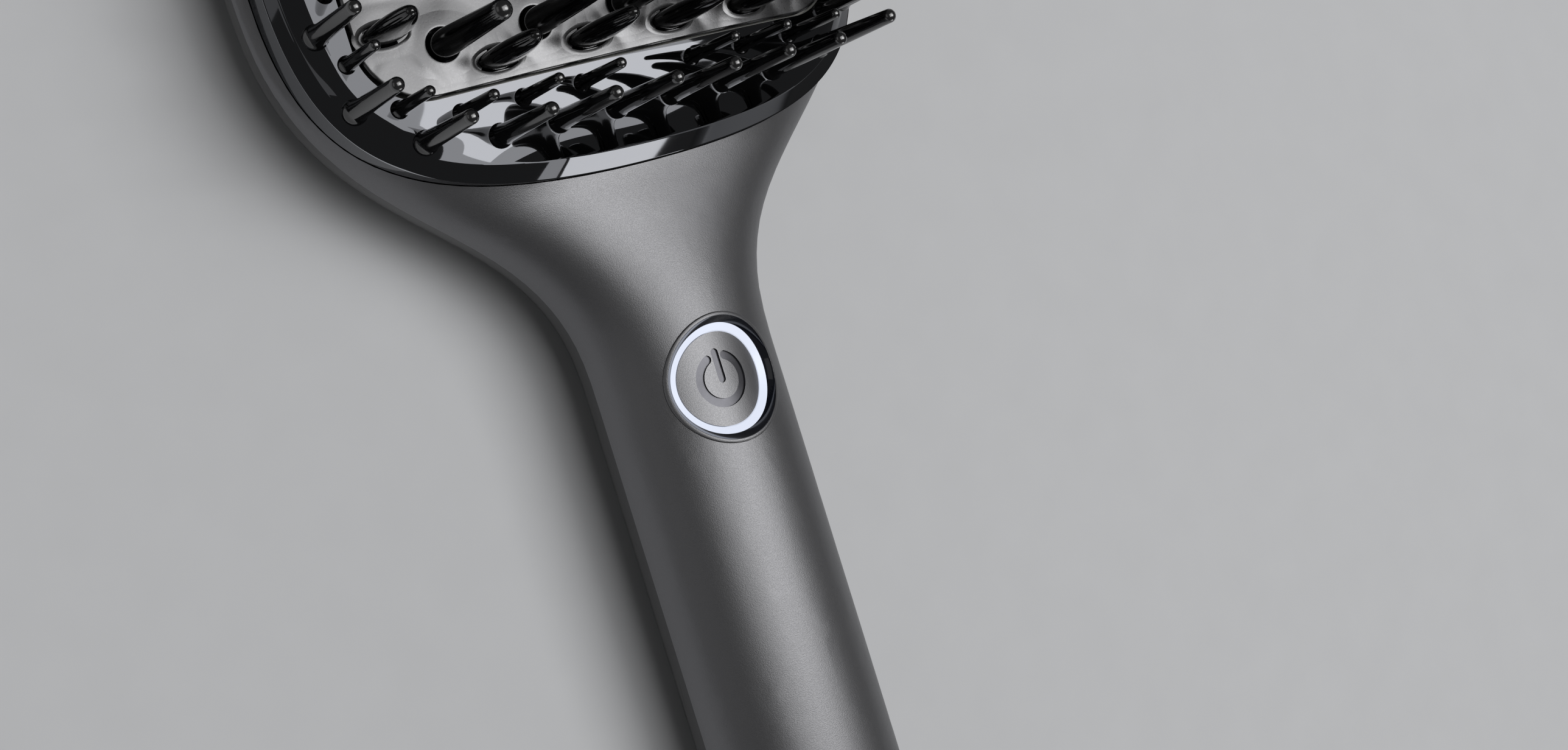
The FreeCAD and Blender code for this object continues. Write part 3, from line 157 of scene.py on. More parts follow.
# %% Lay the floor
FLOOR_METRES = 8.0
bpy.ops.mesh.primitive_plane_add(size=FLOOR_METRES)
floor = bpy.context.object
floor.name = "floor"
# Matt paper scatters all it gets.  Its fibres are too fine to show, so soft clouds stand for them.
CLOUD_MM = 9.0
tree, shader, place = start_finish("floor", "pale_studio_paper", "D4D5D7", Roughness=0.85)
fibre = add_node(tree, "ShaderNodeTexNoise",
                 {"Vector": place, "Scale": per_metre(CLOUD_MM), "Detail": 3.0})
add_node(tree, "ShaderNodeMix",
         {"Factor": fibre.outputs["Fac"], 6: linear("D6D7D9"), 7: linear("D1D2D4")},
         shader.inputs["Base Color"], data_type="RGBA")
floor.data.materials.append(finishes.pop("floor"))
print("floor laid,", FLOOR_METRES, "m wide")

# %% Hang the lamps
middle = (cad_low + cad_high) / 2


def hang_lamp(name, direction, distance, width, height, radiance):
    """A soft box that looks at the brush, in metres; radiance is how bright its cloth looks."""
    data = bpy.data.lights.new(name, "AREA")
    data.shape = "RECTANGLE"
    data.size = width
    data.size_y = height
    data.energy = radiance * math.pi * width * height
    lamp = bpy.data.objects.new(name, data)
    bpy.context.scene.collection.objects.link(lamp)
    away = Vector(direction).normalized()
    lamp.matrix_world = (Matrix.Translation(middle + away * distance)
                         @ away.to_track_quat("Z", "Y").to_matrix().to_4x4())
    print(name, "hung", distance, "m away,", round(data.energy, 1), "W")


hang_lamp("wide_soft_box", (0.185, 0.035, 1.0), 1.25, 1.0, 1.36, 2.0)
hang_lamp("bright_soft_box", (0.404, -0.0875, 1.0), 1.05, 0.42, 0.64, 2.6)
hang_lamp("low_card", (0.45, -0.88, 0.12), 1.1, 0.36, 0.2, 4.4)
hang_lamp("low_side_card", (0.2, -0.97, 0.12), 1.1, 0.2, 0.2, 1.6)
hang_lamp("left_card", (-0.93, 0.16, 0.36), 1.0, 0.8, 0.4, 0.3)

# %% [markdown]
# ## The room
# The lamps hang in a dim room, and its walls are what a mirror shows where it meets no lamp.  The
# world stands for them: nearly white and very weak, so that the blacks stay deep and no side of
# the brush is lost.

# %% Light the room
ROOM_LEVEL = 0.09
world = bpy.data.worlds.new("studio_room")
bpy.context.scene.world = world
world.use_nodes = True
walls = world.node_tree.nodes["Background"]
walls.inputs["Color"].default_value = linear("F6F6F6")
walls.inputs["Strength"].default_value = ROOM_LEVEL
print("room level", ROOM_LEVEL)

# %% [markdown]
# ## The shells
# The front shell is ABS with a leather grain etched into its tool, sprayed with an anthracite
# lacquer that holds fine aluminium flakes.  The flakes make it shine like satin metal: bright where
# it turns to the lamps, dark at its sides.  The grain is a pattern of cells, pressed in as a bump;
# a slow change of tone keeps the lacquer from looking like paint on a screen.

# %% Grained front shell
# The etched cells are about half as wide as this, and are drawn coarser so that they show.
GRAIN_MM = 0.15
GRAIN_DEEP_MM = 0.02
# A slow warp keeps the cells from lying in rows.
GRAIN_WARP_MM = 0.6


def press_leather(tree, shader, place):
    """The etched leather grain that the front shell and the button share."""
    warp = add_node(tree, "ShaderNodeTexNoise", {"Vector": place, "Scale": per_metre(1.1)})
    shifted = add_node(tree, "ShaderNodeMix", {"Factor": GRAIN_WARP_MM * MM, 4: place,
                                               5: warp.outputs["Color"]}, data_type="VECTOR")
    cells = add_node(tree, "ShaderNodeTexVoronoi", {"Vector": shifted.outputs[1],
                                                    "Scale": per_metre(GRAIN_MM)}, feature="F1")
    height = cells.outputs["Distance"]
    add_node(tree, "ShaderNodeBump",
             {"Height": height, "Strength": 0.5, "Distance": GRAIN_DEEP_MM * MM},
             shader.inputs["Normal"], invert=True)
    add_node(tree, "ShaderNodeMapRange",
             {"Value": height, "From Max": 0.7, "To Min": 0.36, "To Max": 0.46},
             shader.inputs["Roughness"])


# The flakes give a soft, metallic sheen that fades fast from the lamps' side to the dark one.
tree, shader, place = start_finish("shell_matte", "satin_metallic_lacquer", "79797B", Metallic=0.9)
press_leather(tree, shader, place)
tone = add_node(tree, "ShaderNodeTexNoise", {"Vector": place, "Scale": per_metre(35.0)})
add_node(tree, "ShaderNodeMix",
         {"Factor": tone.outputs["Fac"], 6: linear("767678"), 7: linear("7C7C7E")},
         shader.inputs["Base Color"], data_type="RGBA")
print("front shell: leather grain of", GRAIN_MM, "mm")

# %% [markdown]
# The back shell comes from a polished tool.  Polished ABS in black reflects like lacquer, with the
# faintest waves where the plastic shrank, and it picks up a haze from being wiped.  Both are slow
# noises: one bends the surface, the other makes it a little rougher here and there.

# %% Polished back shell
WAVE_MM = 6.0
# Clean black, with lamps and floor mirrored in it at a glancing angle.
tree, shader, place = start_finish("shell_gloss", "polished_black_abs", "0B0B0D", IOR=1.53)
waves = add_node(tree, "ShaderNodeTexNoise", {"Vector": place, "Scale": per_metre(WAVE_MM)})
add_node(tree, "ShaderNodeBump",
         {"Height": waves.outputs["Fac"], "Strength": 0.2, "Distance": 0.02 * MM},
         shader.inputs["Normal"])
haze = add_node(tree, "ShaderNodeTexNoise",
                {"Vector": place, "Scale": per_metre(14.0), "Detail": 4.0})
add_node(tree, "ShaderNodeMapRange",
         {"Value": haze.outputs["Fac"], "To Min": 0.05, "To Max": 0.12}, shader.inputs["Roughness"])
print("back shell: waves of", WAVE_MM, "mm")

# %% [markdown]
# ## The metals of the face
# The face is ABS plated with dark chrome: a true mirror, a little darker than silver.  Plating
# copies the plastic under it, so the mirror sways a little, and breath and fingers leave a haze.

# %% Dark chrome
SWAY_MM = 16.0
# Hard-edged reflections, pale where a lamp is mirrored and nearly black elsewhere.
tree, shader, place = start_finish("mirror_face", "dark_chrome_plated_abs", "5B5C5F", Metallic=1.0)
sway = add_node(tree, "ShaderNodeTexNoise", {"Vector": place, "Scale": per_metre(SWAY_MM)})
add_node(tree, "ShaderNodeBump",
         {"Height": sway.outputs["Fac"], "Strength": 0.12, "Distance": 0.03 * MM},
         shader.inputs["Normal"])
breath = add_node(tree, "ShaderNodeTexNoise",
                  {"Vector": place, "Scale": per_metre(9.0), "Detail": 5.0})
add_node(tree, "ShaderNodeMapRange",
         {"Value": breath.outputs["Fac"], "To Min": 0.015, "To Max": 0.05},
         shader.inputs["Roughness"])
print("chrome: sways over", SWAY_MM, "mm")

# %% [markdown]
# The plate is aluminium, blasted with fine beads until it is satin, and pressed up softly round
# each tooth.  Those swells are too shallow to draw as shape, so they are a bump: the distance to
# the nearest tooth, measured from lattices with the teeth's own spacing.  Four lattices hold all
# the teeth: two of them the staggered round ones, one the flat ones at the ends, one those at the
# sides.

# %% Blasted aluminium
# The teeth's places are in millimetres from the plate's middle.
TEETH_ACROSS = 13.5
TEETH_ALONG = 11.63
END_TEETH_Y = 38.4
SIDE_TEETH_X = 34.2
SIDE_TEETH_ALONG = 12.76
PLATE_MIDDLE_Y = 80.85
SWELL_FROM, SWELL_TO, SWELL_HIGH = 2.8, 6.8, 0.25
SWELL_BLEND = 1.2
# Real bead marks are about a tenth of a millimetre wide, and are drawn coarser so that they show.
BEAD_MM = 0.3
# A satin grey that follows each swell with a soft change from light to dark.
tree, shader, place = start_finish("satin_plate", "bead_blasted_aluminium", "6E6E6F", Metallic=1.0)
beads = add_node(tree, "ShaderNodeTexNoise",
                 {"Vector": place, "Scale": per_metre(BEAD_MM), "Detail": 2.0})
add_node(tree, "ShaderNodeMapRange",
         {"Value": beads.outputs["Fac"], "To Min": 0.24, "To Max": 0.33},
         shader.inputs["Roughness"])
centred = add_node(tree, "ShaderNodeVectorMath", {0: place, 1: (0.0, PLATE_MIDDLE_Y * MM, 0.0)},
                   operation="SUBTRACT").outputs["Vector"]


def lattice_reach(start, pitch):
    """Distance to the nearest tooth of a lattice: one tooth's x, y and the pitches, in mm."""
    low = [(a - p / 2) * MM for a, p in zip(start, pitch)] + [0.0]
    high = [(a + p / 2) * MM for a, p in zip(start, pitch)] + [0.0]
    wrapped = add_node(tree, "ShaderNodeVectorMath", {0: centred, 1: high, 2: low},
                       operation="WRAP")
    offset = add_node(tree, "ShaderNodeVectorMath",
                      {0: wrapped.outputs["Vector"], 1: [a * MM for a in start] + [0.0]},
                      operation="SUBTRACT")
    level = add_node(tree, "ShaderNodeVectorMath",
                     {0: offset.outputs["Vector"], 1: (1.0, 1.0, 0.0)}, operation="MULTIPLY")
    return add_node(tree, "ShaderNodeVectorMath", {0: level.outputs["Vector"]},
                    operation="LENGTH").outputs["Value"]


swells = [lattice_reach((0.0, TEETH_ALONG), (TEETH_ACROSS, 2 * TEETH_ALONG)),
          lattice_reach((TEETH_ACROSS / 2, 0.0), (TEETH_ACROSS, 2 * TEETH_ALONG)),
          lattice_reach((TEETH_ACROSS / 2, END_TEETH_Y), (TEETH_ACROSS, 2 * END_TEETH_Y)),
          lattice_reach((SIDE_TEETH_X, SIDE_TEETH_ALONG / 2), (2 * SIDE_TEETH_X, SIDE_TEETH_ALONG))]
nearest = swells[0]
for reach in swells[1:]:
    nearest = add_node(tree, "ShaderNodeMath", {0: nearest, 1: reach, 2: SWELL_BLEND * MM},
                       operation="SMOOTH_MIN").outputs["Value"]
swell = add_node(tree, "ShaderNodeMapRange",
                 {"Value": nearest, "From Min": SWELL_FROM * MM, "From Max": SWELL_TO * MM,
                  "To Min": 1.0, "To Max": 0.0}, interpolation_type="SMOOTHSTEP")
pressed = add_node(tree, "ShaderNodeBump", {"Height": swell.outputs["Result"], "Strength": 1.0,
                                            "Distance": SWELL_HIGH * MM})
add_node(tree, "ShaderNodeBump", {"Height": beads.outputs["Fac"], "Strength": 0.25,
                                  "Distance": 0.02 * MM, "Normal": pressed.outputs["Normal"]},
         shader.inputs["Normal"])
print("plate: swells round", len(swells), "lattices of teeth")

# %% [markdown]
# ## Glossy black pins
# Teeth and pins have a hard black ceramic coat, glossier than bare plastic.  It was wiped along
# each pin, and that left fine lines down its length, which break every reflection into long
# streaks.  The pattern is a noise that is stretched thirty times along the pin.

# %% Streaked black ceramic
# Wiping leaves lines ten times finer than this; they are drawn coarser so that they show.
STREAK_MM = 0.45
STREAK_STRETCH = 0.03
# Deep black bars with long, fine lines of light.
tree, shader, place = start_finish("bristle_black", "black_ceramic_coat", "070708", IOR=1.8)
stretched = add_node(tree, "ShaderNodeMapping",
                     {"Vector": place, "Scale": (1.0, 1.0, STREAK_STRETCH)})
lines = add_node(tree, "ShaderNodeTexNoise", {"Vector": stretched.outputs["Vector"],
                                              "Scale": per_metre(STREAK_MM), "Detail": 2.0})
add_node(tree, "ShaderNodeBump",
         {"Height": lines.outputs["Fac"], "Strength": 0.4, "Distance": 0.04 * MM},
         shader.inputs["Normal"])
add_node(tree, "ShaderNodeMapRange",
         {"Value": lines.outputs["Fac"], "To Min": 0.04, "To Max": 0.14},
         shader.inputs["Roughness"])
print("pins: streaks of", STREAK_MM, "mm")

# %% [markdown]
# ## Burnished tips
# The ball tips touch the scalp, so they are beads of black zirconia, burnished in a tumbler.
# Zirconia bends light more than most ceramics do, so each bead has one broad bright highlight,
# softened by what the tumbler leaves.

# %% Burnished beads
# The tumbler's marks are finer than a tenth of a millimetre, and are drawn coarser.
RUB_MM = 0.3
# Small black beads, each with one soft white spot.
tree, shader, place = start_finish("burnished_tip", "burnished_black_zirconia", "08080A", IOR=2.15)
rub = add_node(tree, "ShaderNodeTexNoise", {"Vector": place, "Scale": per_metre(RUB_MM)})
add_node(tree, "ShaderNodeMapRange",
         {"Value": rub.outputs["Fac"], "To Min": 0.15, "To Max": 0.22}, shader.inputs["Roughness"])
print("tips: marks of", RUB_MM, "mm")

# %% [markdown]
# ## The button's finishes
# Round the button lies a bevel of polished dark polycarbonate.  Inside it a ring of opal
# polycarbonate leads the light of four small lamps, and glows an even cool white.  An emission on
# the shader's own socket gives that glow, whatever the room's light.

# %% Bevel and lit ring
# Polished moulding: a dark glassy rim that mirrors the ring beside it.
tree, shader, place = start_finish("ring_gloss", "polished_dark_polycarbonate", "14161D", IOR=1.585)
swirl = add_node(tree, "ShaderNodeTexNoise", {"Vector": place, "Scale": per_metre(3.0)})
add_node(tree, "ShaderNodeMapRange",
         {"Value": swirl.outputs["Fac"], "To Min": 0.04, "To Max": 0.1}, shader.inputs["Roughness"])

# Milky moulding, lit from behind: an even band with no hot spots.
RING_GLOW = 0.72
tree, shader, place = start_finish("ring_light", "opal_light_guide", "9EA3AE", IOR=1.585,
                                   Roughness=0.4, Emission_Strength=RING_GLOW)
milk = add_node(tree, "ShaderNodeTexNoise", {"Vector": place, "Scale": per_metre(5.0)})
add_node(tree, "ShaderNodeMix",
         {"Factor": milk.outputs["Fac"], 6: linear("E9EEFC"), 7: linear("E0E8FB")},
         shader.inputs["Emission Color"], data_type="RGBA")
print("the ring glows at", RING_GLOW)

# %% [markdown]
# The cap is moulded and lacquered like the front shell, and its tool has the same leather etched
# in.  The power sign on it is sunk, and its floor was left smooth, so it has a finish of its own.

# %% Cap and sign
# The shell's lacquer and grain again, in a lighter colour that is painted light, as the cap faces
# straight up.
tree, shader, place = start_finish("button_matte", "etched_lacquered_button", "7E7E80",
                                   Metallic=0.9)
press_leather(tree, shader, place)

# The same lacquer without the grain, so sleeker than on the cap round it; its darker colour is
# painted shade of the sunk sign.
tree, shader, place = start_finish("button_sign", "smooth_lacquered_recess", "58585C",
                                   Metallic=0.9)
drift = add_node(tree, "ShaderNodeTexNoise", {"Vector": place, "Scale": per_metre(1.5)})
add_node(tree, "ShaderNodeMapRange",
         {"Value": drift.outputs["Fac"], "To Min": 0.3, "To Max": 0.38}, shader.inputs["Roughness"])
print(len(finishes), "finishes so far")

# %% [markdown]
# ## The finishes inside
# Most of the other pieces are inside or at the ends.  Each has a real finish of its own, and they
# differ by colour, shine and the size of their grain, so a table holds them: two near tones that a
# noise mixes, how they bend light and scatter it, and the grain's size and depth in millimetres.
# Metals keep the shader's own value for how they bend light.

# %% Table of the other finishes
for slot, name, tone_a, tone_b, metal, ior, rough, grain_mm, depth_mm in (
        # fired and glazed: hard, creamy white, with a wet shine
        ("heater_ceramic", "glazed_alumina", "E4E0D4", "D9D3C4", 0.0, 1.76, 0.32, 0.8, 0.03),
        # cast in a steel die: dull silver skin, faintly mottled
        ("cast_alloy", "die_cast_aluminium", "BFBFC1", "ABABAE", 1.0, None, 0.42, 0.7, 0.05),
        # moulded for heat: plain, chalky white
        ("white_resin", "moulded_white_pps", "E8E8E3", "DFDFD8", 0.0, 1.6, 0.45, 1.6, 0.02),
        # moulded with glass fibres: dry, speckled near-black; in the plate's bores it is painted
        # shade
        ("dark_resin", "glass_filled_nylon_and_painted_bore_shade", "1C1C1E", "29292B", 0.0, 1.53, 0.5, 0.5, 0.03),
        # blown or moulded unpigmented: waxy, cool and cloudy
        ("tank_clear", "natural_polypropylene", "CBD3DA", "BAC4CD", 0.0, 1.49, 0.3, 4.0, 0.03),
        # cured rubber: soft, dusty and pale
        ("silicone", "peroxide_cured_silicone", "CBCAC6", "BFBDB8", 0.0, 1.41, 0.55, 1.2, 0.02),
        # lacquered laminate: glossy green with a hint of its weave
        ("circuit_green", "solder_masked_laminate", "1B5B36", "226B41", 0.0, 1.55, 0.25, 1.0, 0.03),
        # moulded lamp body: smooth warm white
        ("led_white", "moulded_lamp_body", "F1F1E9", "E6E4D6", 0.0, 1.54, 0.35, 0.6, 0.01),
        # barrel plated: warm, bright metal
        ("fuse_metal", "nickel_plated_brass", "BAB5A8", "A9A294", 1.0, None, 0.3, 0.9, 0.02),
        # rolled thread, zinc plated: cool grey with fine spangle
        ("screw_steel", "zinc_plated_steel", "A3A4A8", "8C8E94", 1.0, None, 0.28, 0.35, 0.03)):
    tree, shader, place = start_finish(slot, name, tone_a, Metallic=metal, Roughness=rough)
    if ior:
        shader.inputs["IOR"].default_value = ior
    grain = add_node(tree, "ShaderNodeTexNoise",
                     {"Vector": place, "Scale": per_metre(grain_mm), "Detail": 3.0})
    add_node(tree, "ShaderNodeMix",
             {"Factor": grain.outputs["Fac"], 6: linear(tone_a), 7: linear(tone_b)},
             shader.inputs["Base Color"], data_type="RGBA")
    add_node(tree, "ShaderNodeBump",
             {"Height": grain.outputs["Fac"], "Strength": 0.4, "Distance": depth_mm * MM},
             shader.inputs["Normal"])
print(len(finishes), "finishes")

# %% [markdown]
# ## Dressing the frame
# The record of the frame names one finish for each piece, so a loop can dress them all.  New pieces
# get theirs from a helper that also says on which body they ride, so that they move with it, and
# which node of the frame they stand for, so that it is hidden.  Where part of a piece is made of
# something else, or lies in shade that is painted on, its faces are picked by a test and given a
# second finish.

# %% Put the finishes on the frame
for row in frame["record"]["subparts"]:
    carried = nodes[row["node"]].data
    carried.materials.clear()
    carried.materials.append(finishes[row["material_slot"]])


def finish_piece(piece, name, slot, body, *stands_for):
    """Names a piece, gives it its finish and ties it to the frame."""
    piece.name = name
    piece.data.name = name
    piece.data.materials.clear()
    piece.data.materials.append(finishes[slot])
    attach(piece, body)
    if stands_for:
        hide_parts(*stands_for)
    print(name, "made:", len(piece.data.polygons), "faces")


def second_finish(piece, slot, is_meant):
    """Gives another finish to the faces of a piece that pass a test."""
    piece.data.materials.append(finishes[slot])
    meant = [side for side in piece.data.polygons if is_meant(side)]
    for side in meant:
        side.material_index = 1
    print(len(meant), "of its faces are", slot)


print("finishes on", len(nodes), "pieces")

# %% [markdown]
# ## The two shells
# The shells are moulded resin, lacquered in front and polished behind, and the frame already has
# their shape.  Its triangles end at each seam of the CAD, where a soft highlight would break along
# a line that the real moulding lacks.  So each shell is copied, its doubles are merged, and its
# smoothing is worked out anew over the whole surface.

# %% Join the shells' triangles
DOUBLES = 0.001 * MM


def pick(*pieces):
    """Selects pieces, with the first of them as the active one."""
    bpy.ops.object.select_all(action="DESELECT")
    for piece in pieces:
        piece.select_set(True)
    bpy.context.view_layer.objects.active = pieces[0]


def joined_copy(node):
    """A copy of a CAD node whose triangles share their corners."""
    shell = bpy.data.objects.new(node, nodes[node].data.copy())
    bpy.context.scene.collection.objects.link(shell)
    pick(shell)
    bpy.ops.mesh.customdata_custom_splitnormals_clear()
    bpy.ops.object.mode_set(mode="EDIT")
    bpy.ops.mesh.select_all(action="SELECT")
    bpy.ops.mesh.remove_doubles(threshold=DOUBLES)
    bpy.ops.object.mode_set(mode="OBJECT")
    bpy.ops.object.shade_smooth_by_angle(angle=math.radians(30))
    return shell


for node, name, slot in (("front_housing", "front_shell", "shell_matte"),
                         ("back_housing", "back_shell", "shell_gloss")):
    finish_piece(joined_copy(node), name, slot, "housing", node)

# %% [markdown]
# ## Places on the brush
# Some places are measured on the frame: where the button's middle is, how large the mirror face
# and the heater plate are.  New pieces are drawn in millimetres round the head's middle or the
# button's, so that the numbers stay as easy to read as on a plan.  Face, plate and grip are all
# bent like a flat arch, so one small function serves them all.

# %% Measure the head and the handle
def in_mm(corners):
    return [Vector(corner) / MM for corner in corners]


def arch(x, radius):
    """How far a round arch has fallen at x from its top."""
    return math.sqrt(radius ** 2 - x ** 2) - radius


face_high = in_mm(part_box("face_bezel"))[1]
plate_low, plate_high = in_mm(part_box("heater_plate"))
ring_low, ring_high = in_mm(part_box("button_bezel"))
parting = in_mm(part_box("front_housing"))[0].z
head_y = (plate_low.y + plate_high.y) / 2
button_y = (ring_low.y + ring_high.y) / 2
print("head's middle at y", round(head_y, 2), "button's at", round(button_y, 2),
      "shells meet at z", round(parting, 2))

# %% [markdown]
# ## The mirror face
# The pins stand in a plastic tray that is plated like a car's trim.  A mirror shows every bump,
# so the face is drawn as rings of even, smooth points round the head's middle.  For that, two
# outlines have to be known at every angle: the face's oval rim, and the heater plate with its
# round corners.  The oval has straight sides and curved ends, and a point on its curve is found by
# halving a step till it fits.

# %% The rim's oval and the plate's outline
# how square the oval's corners are, and half the length of its straight sides
FULLNESS = 0.744
STRAIGHT_HALF = 22.5
BEVEL_SIDE = 1.0
BEVEL_MORE_AT_END = 1.3
BEVEL_EDGE = 0.1
PLATE_CORNER = 9.0
PLATE_GAP = 0.4


def bevel_in(angle):
    """The bevel is narrower at the head's sides than at its ends."""
    return BEVEL_SIDE + BEVEL_MORE_AT_END * math.sin(angle) ** 2


def oval_reach(angle, inset):
    """Distance from the head's middle to the face's edge, drawn in by inset."""
    half = face_high.x - inset
    end = face_high.y - head_y - inset - STRAIGHT_HALF
    across, along = abs(math.cos(angle)), abs(math.sin(angle))
    if along * half <= STRAIGHT_HALF * across:
        return half / across
    low, high = 0.0, 1.0
    for _ in range(40):
        step = (low + high) / 2
        back = 1 - step
        first, second = 3 * back ** 2 * step, 3 * back * step ** 2
        x = half * (back ** 3 + first + FULLNESS * second)
        y = STRAIGHT_HALF + end * (FULLNESS * first + second + step ** 3)
        if y * across > x * along:
            high = step
        else:
            low = step
    return math.hypot(x, y)


def plate_reach(angle, grow):
    """Distance from the head's middle to the heater plate's outline."""
    across, along = abs(math.cos(angle)), abs(math.sin(angle))
    half, end = plate_high.x + grow, plate_high.y - head_y + grow
    corner = Vector((half - PLATE_CORNER, end - PLATE_CORNER))
    if along * half <= corner.y * across:
        return half / across
    if across * end <= corner.x * along:
        return end / along
    lead = corner.x * across + corner.y * along
    return lead + math.sqrt(lead ** 2 - corner.length_squared + PLATE_CORNER ** 2)


def rim_and_plate(angle):
    """How far the deck reaches: out to the bevel's inner edge, in to the plate."""
    return oval_reach(angle, bevel_in(angle) + BEVEL_EDGE), plate_reach(angle, PLATE_GAP)


for label, angle in (("side", 0), ("corner", math.pi / 4), ("end", math.pi / 2)):
    rim, plate = rim_and_plate(angle)
    print("the deck is", round(rim - plate, 1), "mm wide at the", label)

# %% [markdown]
# The face is crowned across the head.  At the ends it falls into a shallow moat and climbs to a
# crisp rim, and at the sides it rolls over a soft shoulder.  Both forms depend only on how far a
# point lies between rim and plate, and a soft switch at the corners changes one into the other.

# %% The height of the face
CROWN_RADIUS = 202.0
CROWN_TOP = parting + 13.4
MOAT_SHARE = 0.094
MOAT_TURN = 0.36
SHOULDER_FALL = 1.3
SHOULDER_TURN = 0.45
SIDE_FROM, SIDE_OVER = 0.2, 0.45


def smooth(share):
    """A soft step from 0 to 1."""
    return share ** 2 * (3 - 2 * share)


def sideness(angle):
    """1 at the head's sides, 0 at its two ends, with a soft change at the corners."""
    return smooth(min(max((abs(math.cos(angle)) - SIDE_FROM) / SIDE_OVER, 0.0), 1.0))


def crown_height(x):
    return CROWN_TOP + arch(x, CROWN_RADIUS)


def moat_fall(share, width, angle):
    """How far the face lies under the crown, from the rim (0) to the plate (1)."""
    deep = MOAT_SHARE * width
    if share < MOAT_TURN:
        moat = deep * (1 - (1 - share / MOAT_TURN) ** 2)
    else:
        moat = deep * (1 - smooth(min((share - MOAT_TURN) / (1 - MOAT_TURN), 1.0)))
    shoulder = SHOULDER_FALL * max(1 - share / SHOULDER_TURN, 0.0) ** 1.5
    return moat + (shoulder - moat) * sideness(angle)


def face_height(x, y):
    """Height of the face at a place round the head's middle."""
    angle = math.atan2(y, x)
    rim, plate = rim_and_plate(angle)
    share = (rim - math.hypot(x, y)) / (rim - plate)
    return crown_height(x) - moat_fall(share, rim - plate, angle)


END_PINS_Y = 48.1
print("moat at the end:", round(crown_height(0) - face_height(0, -END_PINS_Y), 2),
      "mm deep at the pins")

# %% [markdown]
# ## Drawing ring by ring
# Most of the new pieces are closed round a middle: the face, the plate's border, collars, blades,
# the button's bowl.  A circle is extruded once for each ring, and the new points are moved where a
# function from an angle says.  That gives even rows of points, and so a surface that mirrors well.

# %% Draw a piece ring by ring
POINTS = 480


def close_up(doubles, smooth_to):
    """Merges doubles, turns all faces outwards and smooths all but the sharp edges."""
    bpy.ops.mesh.select_all(action="SELECT")
    bpy.ops.mesh.remove_doubles(threshold=doubles)
    bpy.ops.mesh.normals_make_consistent(inside=False)
    bpy.ops.object.mode_set(mode="OBJECT")
    bpy.ops.object.shade_smooth_by_angle(angle=math.radians(smooth_to))


def draw_rings(name, rings, centre_y=head_y, points=POINTS, smooth_to=35, fill="NOTHING"):
    """Extrudes a circle ring by ring; each ring is a function from an angle to a place in mm."""
    bpy.ops.mesh.primitive_circle_add(vertices=points, radius=1.0, fill_type=fill)
    piece = bpy.context.object
    piece.name = name
    turns = [math.atan2(v.co.y, v.co.x) for v in piece.data.vertices]
    for number, place_at in enumerate(rings):
        if number:
            bpy.ops.object.mode_set(mode="EDIT")
            bpy.ops.mesh.extrude_region_move()
            bpy.ops.object.mode_set(mode="OBJECT")
        for turned, angle in enumerate(turns):
            x, y, z = place_at(angle)
            piece.data.vertices[number * points + turned].co = (x * MM, (y + centre_y) * MM, z * MM)
    bpy.ops.object.mode_set(mode="EDIT")
    close_up(DOUBLES, smooth_to)
    return piece


print("rings of", POINTS, "points for the large pieces")

# %% [markdown]
# The face starts at the shells' parting line, climbs the outer side, leans in over the bevel and
# runs across the deck to the plate, where it turns down.  The rings lie closest together where the
# surface turns fastest.

# %% The face
BEVEL_DOWN = 2.4
DECK_SHARES = (0.012, 0.025, 0.05, 0.09, 0.14, 0.19, 0.24, 0.29, 0.34, 0.39, 0.44, 0.5, 0.56, 0.62,
               0.68, 0.74, 0.8, 0.86, 0.92, 0.96, 1.0)


def rim_place(inset, down, floor=None):
    """A ring on the bevel: inset and down run from its outer edge to its inner one."""
    def place_at(angle):
        reach = oval_reach(angle, inset * bevel_in(angle) + BEVEL_EDGE if inset else 0.0)
        level = crown_height(rim_and_plate(angle)[0] * math.cos(angle)) - down
        level -= moat_fall(0.0, 1.0, angle) * (1 - down / BEVEL_DOWN)
        return reach * math.cos(angle), reach * math.sin(angle), level if floor is None else floor
    return place_at


def deck_place(share, down=0.0):
    """A ring on the deck, from the rim (0) to the plate (1)."""
    def place_at(angle):
        rim, plate = rim_and_plate(angle)
        reach = rim + (plate - rim) * share
        x = reach * math.cos(angle)
        level = crown_height(x) - moat_fall(share, rim - plate, angle) - down
        return x, reach * math.sin(angle), level
    return place_at


rings = [rim_place(0.0, 0, floor=parting + 0.1), rim_place(0.0, BEVEL_DOWN + 0.15),
         rim_place(0.0, BEVEL_DOWN + 0.05)]
rings += [rim_place(share, BEVEL_DOWN * (1 - share)) for share in (0.02, 0.03, 0.5, 0.9, 0.95)]
rings += [rim_place(0.985, 0.02)] + [deck_place(share) for share in DECK_SHARES]
rings += [deck_place(1.0, 0.3), deck_place(1.0, 1.6)]
face = draw_rings("mirror_face", rings)
finish_piece(face, "mirror_face", "mirror_face", "housing", "face_bezel")

# %% [markdown]
# ## The plate's edge and collars
# The plate is drawn from sheet, so its border rolls over instead of breaking off.  The roll is a
# quarter of a circle, drawn as one more set of rings along the plate's outline.

# %% Roll the plate's border
PLATE_CROWN = 203.0
ROLL_STEPS = 8
ROLL_OUT, ROLL_IN = 0.12, 0.35
ROLL_LOW, ROLL_HIGH = 0.33, 0.36


def plate_level(x):
    return plate_high.z + arch(x, PLATE_CROWN)


def edge_place(grow, down):
    """A ring that follows the plate's outline, grown by so much and so far under its surface."""
    def place_at(angle):
        reach = plate_reach(angle, grow)
        x = reach * math.cos(angle)
        return x, reach * math.sin(angle), plate_level(x) - down
    return place_at


rings = [edge_place(ROLL_OUT, 1.7)]
for step in range(ROLL_STEPS + 1):
    turn = math.pi / 2 * step / ROLL_STEPS
    rings.append(edge_place(ROLL_OUT - ROLL_IN * (1 - math.cos(turn)),
                            ROLL_LOW - ROLL_HIGH * math.sin(turn)))
rings += [edge_place(-1.3, 0.02), edge_place(-1.4, 0.15)]
border = draw_rings("plate_border", rings)
finish_piece(border, "plate_border", "satin_plate", "housing")
